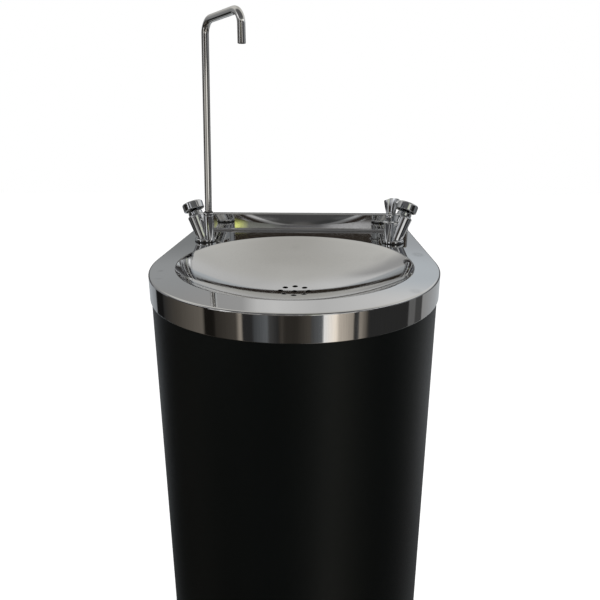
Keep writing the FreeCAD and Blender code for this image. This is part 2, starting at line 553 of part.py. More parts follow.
# ---------------------------------------------------------------------------
# refrigeration
# ---------------------------------------------------------------------------
CX, CY = -62.0, -20.0
cp = revolve([(0, 41), (40, 41), (54, 46, 60, 62), (60, 112), (63.5, 112), (63.5, 118), (60, 118), (60, 160), (52, 184, 20, 197), (0, 200), (0, 41)], V(CX, CY, 0))
plate = box(CX - 74, CX + 74, CY - 44, CY + 44, 36.4, 41.4).cut(box(CX - 50, CX + 50, CY - 60, CY - 42, 30, 50))
cp = cp.fuse(plate)
GR = [(CX + i * 64, CY + j * 34) for i in (-1, 1) for j in (-1, 1)]
cp = cp.cut(Part.makeCompound([cyl(5.1, 20, V(x, y, 30)) for x, y in GR]))
cp = cp.fuse(cyl(5.0, 18.0, V(CX + 52.0, COIL_Y, 150), V(1, 0, 0))).fuse(cyl(4.5, 14.0, V(CX, CY + 57.0, 130), V(0, 1, 0)))
cp = cp.cut(cyl(4.05, 12.0, V(CX + 64.0, COIL_Y, 150), V(1, 0, 0))).cut(cyl(3.05, 12.0, V(CX, CY + 64.0, 130), V(0, 1, 0))).removeSplitter()
save("compressor", cp)
gm = []
for x, y in GR:
    # waisted rubber grommet: shoulder under the plate, neck through it, collar on top
    gm.append(revolve([(0, 0), (10, 0), (10.5, 1.5), (9.0, 8.0), (10.0, 15.2), (4.9, 15.2), (4.9, 20.4), (7.5, 20.4), (6.5, 25.0), (0, 26.0), (0, 0)], V(x, y, TRAY_TOP)))
save("compressor_grommets", gm)
tcov = box(CX - 22, CX + 22, CY - 84, CY - 61.0, 90, 146)
tcov = tcov.makeFillet(4.0, [e_ for e_ in tcov.Edges if e_.BoundBox.YMax < CY - 80])
tcov = tcov.cut(cyl(63.8, 200, V(CX, CY, 0)))
save("compressor_cover", tcov)

# finned condenser block: end plates, fins, serpentine
KX0, KX1, KY0, KY1, KZ0, KZ1 = -6.0, 134.0, 116.0, 156.0, 50.0, 206.0
rows = []
for yy in (126.0, 146.0):
    for i in range(6):
        rows.append((yy, KZ0 + 15 + i * 25.2))
fins = []
nf = 22
for i in range(nf):
    x = KX0 + 2 + (KX1 - KX0 - 4) * i / (nf - 1.0)
    fins.append(box(x - 0.4, x + 0.4, KY0, KY1, KZ0, KZ1))
fins.append(box(KX0, KX0 + 1.2, KY0, KY1, TRAY_TOP, KZ1 + 8))
fins.append(box(KX1 - 1.2, KX1, KY0, KY1, TRAY_TOP, KZ1 + 8))
# one serpentine: up the front row, across, down the rear row
zz = [KZ0 + 15 + i * 25.2 for i in range(6)]
xa, xb = KX0 - 4.0, KX1 + 4.0
ed = []
def seg(p, q): ed.append(Part.LineSegment(V(*p), V(*q)).toShape())
def hop(p, q, sgn):
    """half turn between two parallel runs, bulging toward sgn * X"""
    m = (V(*p) + V(*q)) * 0.5 + V(sgn * (V(*p) - V(*q)).Length / 2, 0, 0)
    ed.append(Part.Arc(V(*p), m, V(*q)).toShape())
for i in range(6):
    x0, x1 = (xa, xb) if i % 2 == 0 else (xb, xa)
    seg((x0, 126.0, zz[i]), (x1, 126.0, zz[i]))
    if i < 5:
        hop((x1, 126.0, zz[i]), (x1, 126.0, zz[i + 1]), 1 if x1 > x0 else -1)
hop((xa, 126.0, zz[5]), (xa, 146.0, zz[5]), -1)
for i in range(5, -1, -1):
    x0, x1 = (xa, xb) if i % 2 == 1 else (xb, xa)
    seg((x0, 146.0, zz[i]), (x1, 146.0, zz[i]))
    if i > 0:
        hop((x1, 146.0, zz[i]), (x1, 146.0, zz[i - 1]), 1 if x1 > x0 else -1)
serp = Part.Wire(ed).makePipeShell([Part.Wire(Part.makeCircle(4.0, V(xa, 126.0, zz[0]), V(1, 0, 0)))], True, True)
bores = Part.makeCompound([cyl(4.03, KX1 - KX0 + 20, V(KX0 - 10, yy, zz_), V(1, 0, 0)) for yy, zz_ in rows])
cond = [serp] + [f_.cut(bores) for f_ in fins]
save("condenser", cond)

# fan: shroud, motor, bracket, blade
FX, FZ = 64.0, 128.0
shroud = box(KX0, KX1, 100.0, KY0, TRAY_TOP, KZ1 + 8).cut(box(KX0 + 1.2, KX1 - 1.2, 101.2, KY0 + 1, TRAY_TOP - 1, KZ1 + 9))
shroud = shroud.cut(cyl(62.0, 10, V(FX, 96, FZ), V(0, 1, 0)))
shroud = shroud.fuse(ring(63.2, 62.0, 12.0, V(FX, 89.2, FZ), V(0, 1, 0)))
for ang in (45, 135, 225, 315):
    a = math.radians(ang)
    st = box(-4, 4, -1.5, 0, 24.0, 66.0)
    st.rotate(V(0, 0, 0), V(0, 1, 0), ang)
    st.translate(V(FX, 68.0, FZ))
    shroud = shroud.fuse(st)
    lg = box(-4, 4, -1.5, 34.0, 64.5, 66.0)
    lg.rotate(V(0, 0, 0), V(0, 1, 0), ang)
    lg.translate(V(FX, 68.0, FZ))
    shroud = shroud.fuse(lg)
shroud = shroud.fuse(ring(26.0, 8.5, 1.5, V(FX, 66.5, FZ), V(0, 1, 0))).removeSplitter()
save("fan_shroud", shroud)
motor = cyl(24.0, 30.0, V(FX, 36.5, FZ), V(0, 1, 0)).cut(cyl(2.55, 40, V(FX, 40, FZ), V(0, 1, 0)))
motor = motor.fuse(ring(8.0, 2.55, 4.0, V(FX, 66.5, FZ), V(0, 1, 0))).removeSplitter()
save("fan_motor", motor)
blade = cyl(2.5, 45.0, V(FX, 44.0, FZ), V(0, 1, 0)).fuse(cyl(17.0, 13.0, V(FX, 74.5, FZ), V(0, 1, 0)))
for i in range(5):
    bl = Part.Face(Part.makePolygon([V(14, 0, -7), V(57, 0, -17), V(58.5, 0, 13), V(14, 0, 9), V(14, 0, -7)])).extrude(V(0, 1.6, 0))
    bl.rotate(V(30, 0, 0), V(1, 0, 0), 22)
    bl.rotate(V(0, 0, 0), V(0, 1, 0), 72 * i)
    bl.translate(V(FX, 80.5, FZ))
    blade = blade.fuse(bl)
blade = blade.removeSplitter()
save("fan_blade", blade)

# filter drier and refrigerant lines
DX, DY = -126.0, 104.0
save("filter_drier", revolve([(0, 90), (3.2, 90), (3.2, 97), (11, 106), (11, 190), (3.2, 199), (3.2, 206), (0, 206), (0, 90)], V(DX, DY, 0)))
zc = KZ0 + 15
# hot line: compressor to the front row of the condenser; liquid line: rear row to the drier
save("refrigerant_pipes", [
    tube("hot_line", [(CX, CY + 65, 130), (CX, 126, 130), (CX, 126, zc), (KX0 - 4.2, 126, zc)], 14.0, 3.0, 2.2),
    tube("liquid_line", [(KX0 - 4.2, 146, zc), (-96, 146, zc), (DX, DY, zc), (DX, DY, 89.8)], [18.0, 14.0], 3.0, 2.2)])
save("capillary_tube", tube("capillary_tube", [(DX, DY, 206.2), (DX, DY, 470), (-108, COIL_Y, 510), (-108, COIL_Y, 625), (-0.3, COIL_Y, 625)], [30.0, 30.0, 16.0], 1.5, 0.8))
save("suction_pipe", tube("suction_pipe", [(0.3, COIL_Y, 775), (112, COIL_Y, 775), (112, COIL_Y, 240), (24, COIL_Y, 240), (24, COIL_Y, 150),
                                          (CX + 64.2, COIL_Y, 150)], [20.0, 24.0, 20.0, 12.0], 4.0, 3.2))

# ---------------------------------------------------------------------------
# electrics
# ---------------------------------------------------------------------------
th = box(TH_X - 17, TH_X + 17, SV_Y - 24, SV_Y, TH_Z - 22, TH_Z + 22)
th = th.makeFillet(2.0, [e_ for e_ in th.Edges if e_.BoundBox.YMax < SV_Y - 23])
th = th.fuse(cyl(5.0, 5.0, V(TH_X, SV_Y, TH_Z), V(0, 1, 0))).cut(cyl(3.05, 30, V(TH_X, SV_Y - 8, TH_Z), V(0, 1, 0))).removeSplitter()
kn = revolve([(0, 8), (13.5, 8), (15, 8.4, 15.5, 9.5), (14.5, 20), (14.0, 21.2, 12.5, 21.5), (0, 21.5), (0, 8)], V(TH_X, SV_Y, TH_Z), V(0, 1, 0))
flutes = [cyl(1.6, 30, V(TH_X + 16.2 * math.cos(a_), SV_Y + 4, TH_Z + 16.2 * math.sin(a_)), V(0, 1, 0)) for a_ in [math.pi / 9 * i for i in range(18)]]
kn = kn.cut(Part.makeCompound(flutes))
kn = kn.cut(box(TH_X - 0.8, TH_X + 0.8, SV_Y + 20.7, SV_Y + 24, TH_Z + 4, TH_Z + 12))
kn = kn.fuse(cyl(3.0, 14.0, V(TH_X, SV_Y - 6.0, TH_Z), V(0, 1, 0))).removeSplitter()
save("thermostat_knob", kn)
# sensing tube, brazed into the thermostat's bellows, runs up into the insulation
probe = tube("probe", [(TH_X - 8, 117.0, TH_Z), (TH_X - 8, 92, TH_Z), (-66, 118, 500), (-66, 138, 525), (-66, 138, 690), (-42, 109.7, 690)],
             [7.0, 12.0, 12.0, 8.0], 1.2)
save("thermostat", th.fuse(probe).removeSplitter())

pi_ = box(PW_X - 13.8, PW_X + 13.8, SV_Y - 16, SV_Y + 1.5, PW_Z - 10.0, PW_Z + 10.0)
pi_ = pi_.fuse(box(PW_X - 25, PW_X + 25, YF1, YF1 + 2.5, PW_Z - 12.5, PW_Z + 12.5))
pi_ = pi_.cut(box(PW_X - 12.2, PW_X + 12.2, SV_Y - 13.5, SV_Y + 10, PW_Z - 8.4, PW_Z + 8.4))
for dx, dz, w_, h_ in ((-7, 1.6, 1.0, 2.0), (7, 1.6, 1.0, 2.0), (0, 3.6, 1.0, 2.0)):
    pi_ = pi_.fuse(box(PW_X + dx - w_, PW_X + dx + w_, SV_Y - 20, SV_Y + 0.5, PW_Z + dz - h_, PW_Z + dz + h_))
pi_ = pi_.removeSplitter()
save("power_inlet", pi_)

sw = box(SWX - 6.4, SWX + 6.4, SV_Y - 15, SV_Y + 1.5, SWZ - 9.4, SWZ + 9.4).fuse(box(SWX - 8, SWX + 8, YF1, YF1 + 1.8, SWZ - 11, SWZ + 11))
sw = sw.cut(box(SWX - 5.2, SWX + 5.2, SV_Y - 6.5, SV_Y + 10, SWZ - 8.6, SWZ + 8.6)).removeSplitter()
sw = sw.cut(cyl(1.55, 12.2, V(SWX - 6.1, SV_Y - 1.0, SWZ), V(1, 0, 0)))
save("switch_body", sw)
PIV_Y = SV_Y - 1.0
rk = Part.Face(Part.makePolygon([V(0, -3.4, -6.2), V(0, 3.6, -7.4), V(0, 3.2, 0), V(0, 3.6, 7.4), V(0, -3.4, 6.2), V(0, -3.4, -6.2)])).extrude(V(9.4, 0, 0))
rk.translate(V(-4.7, 0, 0))
rk = rk.fuse(cyl(1.5, 12.0, V(-6.0, 0, 0), V(1, 0, 0))).removeSplitter()
rk.rotate(V(0, 0, 0), V(1, 0, 0), -9.0)
rk.translate(V(SWX, PIV_Y, SWZ))
save("switch_rocker", rk)

tb = box(-136, -100, 60, 92, 330, 372)
tb = tb.makeFillet(2.5, [e_ for e_ in tb.Edges if abs(e_.BoundBox.ZMax - e_.BoundBox.ZMin) > 30])
tbb = box(-155.6, -136, 64, 88, 334, 368)
save("terminal_box", tb.fuse(tbb).removeSplitter())
leads = [tube("mains_lead", [(PW_X, SV_Y - 20.2, PW_Z + 1.6), (PW_X, 96, PW_Z + 1.6), (-118, 76, 430), (-118, 76, 372.2)], [12.0, 20.0], 3.0)]
leads.append(tube("compressor_lead", [(-118, 76, 329.8), (-118, 76, 285), (-118, -60, 250), (CX, -96, 215), (CX, -94, 146.2)],
                  [24.0, 30.0, 24.0], 3.0))
leads.append(tube("fan_lead", [(-106, 66, 329.8), (-106, 66, 300), (30, 50, 240), (FX, 50, 215), (FX, 50, FZ + 24.2)], [16.0, 30.0, 20.0], 2.5))
save("internal_leads", leads)

# ---------------------------------------------------------------------------
# taps
# ---------------------------------------------------------------------------
GK = 1.0                                    # gasket thickness
springs = {}


def tap(side, top_out, web_z):
    """Chromed valve body.  side -1 left, +1 right.  top_out: outlet barrel height above the deck."""
    c = V(side * TAP_X, TAP_Y, DECK_Z)
    h = V(side * TAP_X, TAP_Y - BOWL_Y, 0); h.normalize()     # away from the bowl
    n = Z.cross(h)
    ax = h * math.sin(TAP_LEAN) + Z * math.cos(TAP_LEAN)      # push-button axis, outward
    p0 = c + h * PUSH_R0
    po = c - h * OUT_T
    base = revolve([(0, GK), (13.6, GK), (14, GK + 0.4), (14, GK + 2.0), (13.5, GK + 3.1, 12.2, GK + 3.4), (0, GK + 3.4), (0, GK)], c)
    barrel = revolve([(0, -6), (8.6, -6), (11.7, 33.2), (11.75, 35.0, 10.6, 36.4), (9.6, 37.0), (0, 37.0), (0, -6)], p0, ax)
    barrel = barrel.cut(box(c.x - 60, c.x + 60, c.y - 60, c.y + 60, DECK_Z - 30, DECK_Z + GK))
    outb = revolve([(0, GK), (6.7, GK), (6.7, top_out - 1.2), (6.3, top_out - 0.3, 5.6, top_out), (0, top_out), (0, GK)], po)
    # web between the two barrels, arched along its top
    def wp(u, z): return c + h * u + Z * z
    a0, a1 = wp(-OUT_T, web_z), wp(PUSH_R0 + 30.5 * math.tan(TAP_LEAN), 30.5)
    wire = Part.Wire([Part.LineSegment(wp(-OUT_T, GK), a0).toShape(), Part.Arc(a0, wp(2.8, web_z + 4.6), a1).toShape(),
                      Part.LineSegment(a1, wp(PUSH_R0 + GK * math.tan(TAP_LEAN), GK)).toShape(),
                      Part.LineSegment(wp(PUSH_R0 + GK * math.tan(TAP_LEAN), GK), wp(-OUT_T, GK)).toShape()])
    web = Part.Face(wire).extrude(n * 9.0)
    web.translate(n * -4.5)
    web = web.makeFillet(2.2, [e_ for e_ in web.Edges if e_.BoundBox.ZMin > DECK_Z + 19.0 and e_.Length > 12.0])
    shank = cyl(7.0, 40.0 + GK + 0.5, c + V(0, 0, -40.0))
    body = base.multiFuse([barrel, outb, web, shank])
    bores = [cyl(7.05, 30.0, p0 + ax * 13.0, ax),              # valve chamber
             cyl(2.2, 14.0, p0 + ax * 0.0, ax),
             cyl(4.05, 32.0, c + V(0, 0, -41.0))]
    body = body.cut(Part.makeCompound(bores))
    return dict(c=c, h=h, n=n, ax=ax, p0=p0, po=po, body=body)


L_ = tap(-1, 36.0, 26.0)
R_ = tap(1, 28.0, 21.5)
nv = V(math.sin(NECK_LEAN), 0, math.cos(NECK_LEAN))           # swan neck's lower axis
NB = V(L_["po"].x, L_["po"].y, DECK_Z + 36.0)                 # where it leaves the outlet barrel

# filler body: seat for the tube
lb = L_["body"].cut(cyl(5.4, 40, NB - nv * 14.0, nv)).cut(cyl(2.5, 24.0, L_["po"] + V(0, 0, 6.0)))
save("filler_tap_body", lb.removeSplitter())
rb = R_["body"].cut(cyl(2.5, 40.0, R_["po"] + V(0, 0, 6.0)))
save("bubbler_tap_body", rb.removeSplitter())

save("tap_gaskets", [ring(14.3, 7.4, GK, T["c"]) for T in (L_, R_)])
bn = []
for T in (L_, R_):
    b0 = T["c"] + V(0, 0, -SHEET - 1.5 - 6.0)
    bn.append(hexprism(24.0, 6.0, b0).fuse(cyl(14.0, 1.5, b0 + V(0, 0, 6.0))).cut(cyl(7.05, 20, b0 + V(0, 0, -5))).removeSplitter())
save("tap_backnuts", bn)

bon = []
for T in (L_, R_):
    b_ = revolve([(4.08, 32.0), (6.95, 32.0), (6.95, 37.05), (9.5, 37.05), (9.5, 40.6), (9.2, 41.2, 8.6, 41.5), (4.08, 41.5), (4.08, 32.0)], T["p0"], T["ax"])
    bon.append(b_)
save("tap_bonnets", bon)

for T, nm in ((L_, "filler"), (R_, "bubbler")):
    cap = revolve([(0, 49.6), (11.0, 49.6), (11.0, 44.6), (11.4, 44.3), (13.4, 44.3), (13.85, 44.45, 14.0, 44.9), (14.0, 52.4),
                   (13.4, 54.2, 11.6, 54.8), (9.0, 55.0), (0, 55.2), (0, 49.6)], T["p0"], T["ax"])
    stem = revolve([(0, 16.0), (2.0, 16.0), (2.0, 29.4), (5.9, 29.4), (5.9, 31.9), (4.0, 31.9), (4.0, 50.0), (0, 50.0), (0, 16.0)], T["p0"], T["ax"])
    save(nm + "_button", cap.fuse(stem).removeSplitter())
    # return spring round the stem's lower pin
    turns, wr, cr_, step = 4.5, 0.6, 4.6, 8
    hgt = 29.2 - 14.7 - 2.6 * wr
    rp = cr_ / math.cos(math.pi / step)
    hp = []
    for i in range(int(turns * step) + 1):
        a = 2 * math.pi * i / step
        hp.append((rp * math.cos(a), rp * math.sin(a), hgt * i / (turns * step)))
    chord = (V(*hp[1]) - V(*hp[0])).Length
    turn = (V(*hp[1]) - V(*hp[0])).getAngle(V(*hp[2]) - V(*hp[1]))
    sp = tube(nm + "_spring", hp, 0.49 * chord / math.tan(turn / 2), wr)
    sp = place(sp, T["p0"] + T["ax"] * (14.7 + 1.3 * wr), T["ax"])
    save(nm + "_spring", sp)
# valve seats: rubber rings at the bottom of each chamber
save("valve_seats", [ring(6.9, 2.5, 1.5, T["p0"] + T["ax"] * 13.05, T["ax"]) for T in (L_, R_)])

# swan neck and its gland
c1 = NB + nv * ((NECK_TOP - NB.z) / nv.z)
npts = [tuple(NB - nv * 12.0), tuple(c1), (SPOUT_X, SPOUT_Y, NECK_TOP), (SPOUT_X - 0.2, SPOUT_Y, SPOUT_END)]
neck = tube("gooseneck", npts, NECK_BEND, TUBE_R, TUBE_R - 0.9)
save("gooseneck", neck)
gl = revolve([(4.58, -5.0), (5.36, -5.0), (5.36, 0.25), (6.9, 0.25), (7.0, 0.5), (7.0, 2.8), (6.4, 3.4), (4.58, 3.4), (4.58, -5.0)], NB, nv)
save("neck_nut", gl)
save("neck_seal", revolve([(4.58, 3.45), (5.8, 3.45), (5.7, 4.4), (5.0, 4.9), (4.58, 4.9), (4.58, 3.45)], NB, nv))

# bubbler: nozzle and cupped mouth guard
po = R_["po"]
h, n = R_["h"], R_["n"]
nz = revolve([(0, 22.0), (2.45, 22.0), (2.45, 29.6), (4.6, 29.6), (4.9, 31.0), (4.9, 34.5), (4.4, 37.6, 2.2, 39.4), (0, 39.8), (0, 22.0)], po)
jet = -h * math.sin(math.radians(35)) + Z * math.cos(math.radians(35))
nz = nz.cut(cyl(1.3, 16.0, po + V(0, 0, 20.0))).cut(cyl(1.1, 20, po + V(0, 0, 35.0) , jet))
save("bubbler_nozzle", nz.removeSplitter())
shell = revolve([(2.5, 28.05), (8.4, 28.05), (8.6, 28.6), (7.6, 29.5), (6.9, 31.5), (7.1, 38.0), (8.3, 44.0, 12.0, 57.8), (10.7, 58.0),
                 (7.0, 44.3, 5.8, 38.0), (5.6, 31.0), (5.4, 29.55), (2.5, 29.55), (2.5, 28.05)], po)
# keep the foot ring and a leaf on the side away from the bowl
foot = box(po.x - 30, po.x + 30, po.y - 30, po.y + 30, DECK_Z + 20, DECK_Z + 29.9)
def lp(u, z): return po + n * u + Z * z
lf = Part.Wire([Part.LineSegment(lp(-5.2, 29.0), lp(-5.4, 37.0)).toShape(), Part.Arc(lp(-5.4, 37.0), lp(-7.6, 43.0), lp(-10.2, 50.0)).toShape(),
                Part.Arc(lp(-10.2, 50.0), lp(-9.9, 55.6), lp(-6.0, 57.8)).toShape(), Part.Arc(lp(-6.0, 57.8), lp(0, 58.6), lp(6.0, 57.8)).toShape(),
                Part.Arc(lp(6.0, 57.8), lp(9.9, 55.6), lp(10.2, 50.0)).toShape(), Part.Arc(lp(10.2, 50.0), lp(7.6, 43.0), lp(5.4, 37.0)).toShape(),
                Part.LineSegment(lp(5.4, 37.0), lp(5.2, 29.0)).toShape(), Part.LineSegment(lp(5.2, 29.0), lp(-5.2, 29.0)).toShape()])
leaf = Part.Face(lf).extrude(h * 30.0)
guard = shell.common(foot).fuse(shell.common(leaf)).removeSplitter()
save("mouth_guard", guard)
# dished guard lies clear of the push-button barrel
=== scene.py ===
import json
import math
import bpy
import numpy as np
from mathutils import Matrix, Vector, geometry


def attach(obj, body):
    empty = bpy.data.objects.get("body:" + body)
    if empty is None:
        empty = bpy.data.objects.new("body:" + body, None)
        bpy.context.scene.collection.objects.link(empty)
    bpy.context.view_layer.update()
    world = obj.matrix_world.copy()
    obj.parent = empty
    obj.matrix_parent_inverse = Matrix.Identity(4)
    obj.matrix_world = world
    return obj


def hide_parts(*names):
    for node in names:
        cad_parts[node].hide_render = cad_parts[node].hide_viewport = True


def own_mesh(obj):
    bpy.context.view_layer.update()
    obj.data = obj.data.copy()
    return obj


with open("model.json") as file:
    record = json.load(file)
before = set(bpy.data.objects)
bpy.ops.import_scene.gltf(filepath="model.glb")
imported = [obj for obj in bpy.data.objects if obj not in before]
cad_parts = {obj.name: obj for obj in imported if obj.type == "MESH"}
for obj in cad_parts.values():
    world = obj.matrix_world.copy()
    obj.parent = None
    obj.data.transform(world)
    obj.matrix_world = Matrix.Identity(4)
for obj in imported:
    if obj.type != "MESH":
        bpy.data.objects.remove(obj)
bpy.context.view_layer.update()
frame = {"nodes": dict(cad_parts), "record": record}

MM = 0.001

# ---------------------------------------------------------------------------
# dimensions shared with the CAD part (millimetres)
# ---------------------------------------------------------------------------
W, DECK, YF, YR = 320.0, 960.0, -175.0, 175.0
APRON, SHEET = 27.0, 1.2
R1, A1 = 180.05, math.radians(9.142)
R2, A2 = 151.10, math.radians(61.32)
BOWL_Y, PAD_R, BOWL_D = -9.8, 24.0, 36.0
R_FLAT, R_LIP = 133.4, 3.0
A_RIM = 2 * math.atan(BOWL_D / R_FLAT)
R_DISH = R_FLAT / math.sin(A_RIM) - R_LIP
HOLE_R, HOLE_PCR = 3.25, 16.1
TAP_X, TAP_Y, TAP_HOLE = 125.0, 90.7, 7.5
UPX, UPY, UPH = 157.5, 163.5, 25.0


# ---------------------------------------------------------------------------
# mesh building: patches with exact normals, welded into one mesh
# ---------------------------------------------------------------------------
class Shell:
    def __init__(self):
        self.v, self.n, self.f, self.k = [], [], [], 0

    def add(self, pts, nrm, faces):
        pts = np.asarray(pts, float).reshape(-1, 3)
        nrm = np.asarray(nrm, float)
        if nrm.ndim == 1:
            nrm = np.tile(nrm, (len(pts), 1))
        self.v.append(pts)
        self.n.append(nrm.reshape(-1, 3))
        for f in faces:
            self.f.append(tuple(int(i) + self.k for i in f))
        self.k += len(pts)

    def grid(self, pts, nrm, close_u=False, close_v=False):
        """pts (a, b, 3): quads between neighbouring rows and columns."""
        pts = np.asarray(pts, float)
        a, b = pts.shape[:2]
        nrm = np.asarray(nrm, float)
        if nrm.ndim == 1:
            nrm = np.broadcast_to(nrm, pts.shape)
        i = np.arange(a if close_u else a - 1)
        j = np.arange(b if close_v else b - 1)
        I, J = np.meshgrid(i, j, indexing="ij")
        I2, J2 = (I + 1) % a, (J + 1) % b
        q = np.stack([I * b + J, I2 * b + J, I2 * b + J2, I * b + J2], -1).reshape(-1, 4)
        self.add(pts.reshape(-1, 3), nrm.reshape(-1, 3), q)

    def flat(self, outer, holes, fix, normal, axes=(0, 1)):
        """Flat region with holes. outer and holes are lists of 2D loops; fix is the third coordinate."""
        loops = [outer] + list(holes)
        verts, edges = [], []
        for lp in loops:
            s = len(verts)
            verts += [Vector((float(p[0]), float(p[1]))) for p in lp]
            edges += [(s + i, s + (i + 1) % len(lp)) for i in range(len(lp))]
        out_v, _, out_f = geometry.delaunay_2d_cdt(verts, edges, [], 0, 1e-7)[:3]
        co = np.array([(p.x, p.y) for p in out_v])
        tri = np.array([f for f in out_f if len(f) == 3])
        c = co[tri].mean(1)
        keep = inside(c, np.asarray(outer, float))
        for h in holes:
            keep &= ~inside(c, np.asarray(h, float))
        tri = tri[keep]
        pts = np.zeros((len(co), 3))
        rest = ({0, 1, 2} - set(axes)).pop()
        pts[:, axes[0]], pts[:, axes[1]], pts[:, rest] = co[:, 0], co[:, 1], fix
        self.add(pts, np.asarray(normal, float), tri)

    def build(self, name, weld=2e-4):
        v, n = np.vstack(self.v), np.vstack(self.n)
        n = n / np.maximum(np.linalg.norm(n, axis=1, keepdims=True), 1e-12)
        key = np.round(v / weld).astype(np.int64)
        _, first, inv = np.unique(key, axis=0, return_index=True, return_inverse=True)
        inv = inv.ravel()
        welded = v[first]
        faces, loops = [], []
        seen = set()
        for f in self.f:
            w = [int(inv[i]) for i in f]
            c = [(a, b) for k, (a, b) in enumerate(zip(w, f)) if a != w[k - 1]]
            if len(c) < 3 or len({a for a, _ in c}) < 3:
                continue
            p = welded[[a for a, _ in c]]
            fn = np.cross(p[1] - p[0], p[2] - p[0])
            if len(c) == 4:
                fn = fn + np.cross(p[2] - p[0], p[3] - p[0])
            if np.linalg.norm(fn) < 1e-9:
                continue
            if fn @ n[[b for _, b in c]].sum(0) < 0:
                c = c[::-1]
            tag = frozenset(a for a, _ in c)
            if tag in seen:
                continue
            seen.add(tag)
            faces.append([a for a, _ in c])
            loops += [b for _, b in c]
        me = bpy.data.meshes.new(name)
        me.from_pydata((welded * MM).tolist(), [], faces)
        me.polygons.foreach_set("use_smooth", np.ones(len(faces), bool))
        me.update()
        me.normals_split_custom_set(n[loops].tolist())
        ob = bpy.data.objects.new(name, me)
        bpy.context.scene.collection.objects.link(ob)
        return ob


def inside(p, loop):
    x, y = p[:, 0], p[:, 1]
    res = np.zeros(len(p), bool)
    a, b = loop, np.roll(loop, -1, 0)
    for (x0, y0), (x1, y1) in zip(a, b):
        if y0 == y1:
            continue
        hit = (y0 > y) != (y1 > y)
        res ^= hit & (x < (x1 - x0) * (y - y0) / (y1 - y0) + x0)
    return res


def circle(c, r, n):
    a = np.linspace(0, 2 * math.pi, n, endpoint=False)
    return np.stack([c[0] + r * np.cos(a), c[1] + r * np.sin(a)], -1)


def front_path(yb, dense=1.0):
    """The D outline as an open line: right rear corner, front, left rear corner; points and outward normals."""
    c1 = np.array([0.0, YF + R1])
    p1 = c1 + R1 * np.array([math.sin(A1), -math.cos(A1)])
    c2 = p1 - R2 * np.array([math.sin(A1), -math.cos(A1)])
    p2 = c2 + R2 * np.array([math.sin(A2), -math.cos(A2)])
    r3 = (W / 2 - p2[0]) / (1 - math.sin(A2))
    c3 = p2 - r3 * np.array([math.sin(A2), -math.cos(A2)])
    P, N = [], []
    for t in np.linspace(0, 1, int(26 * dense)):
        P.append((W / 2, yb + (c3[1] - yb) * t)); N.append((1.0, 0.0))
    for c, r, a0, a1, k in ((c3, r3, math.pi / 2, A2, 44), (c2, R2, A2, A1, 84), (c1, R1, A1, 0, 20)):
        for a in np.linspace(a0, a1, int(k * dense))[1:]:
            P.append((c[0] + r * math.sin(a), c[1] - r * math.cos(a))); N.append((math.sin(a), -math.cos(a)))
    P, N = np.array(P), np.array(N)
    P = np.vstack([P, (P * [-1, 1])[::-1][1:]])
    N = np.vstack([N, (N * [-1, 1])[::-1][1:]])
    return P, N


def bowl_profile():
    """(r, z, slope) of the bowl's top face from the drain's edge to the flat deck."""
    out = []
    for a in np.linspace(math.asin(PAD_R / R_DISH), A_RIM, 110):
        out.append((R_DISH * math.sin(a), -BOWL_D + R_DISH * (1 - math.cos(a)), a))
    for a in np.linspace(A_RIM, 0, 22)[1:]:
        out.append((R_FLAT - R_LIP * math.sin(a), -R_LIP + R_LIP * math.cos(a), a))
    return np.array(out)


def on_dish(xy, lower=0.0):
    """Points and normals on the dish (or its underside) above plan points."""
    xy = np.asarray(xy, float)
    q = xy - [0, BOWL_Y]
    rr = R_DISH + lower
    z = DECK - BOWL_D + R_DISH - np.sqrt(rr ** 2 - (q ** 2).sum(1))
    n = np.column_stack([-q, DECK - BOWL_D + R_DISH - z]) / rr
    return np.column_stack([xy, z]), n


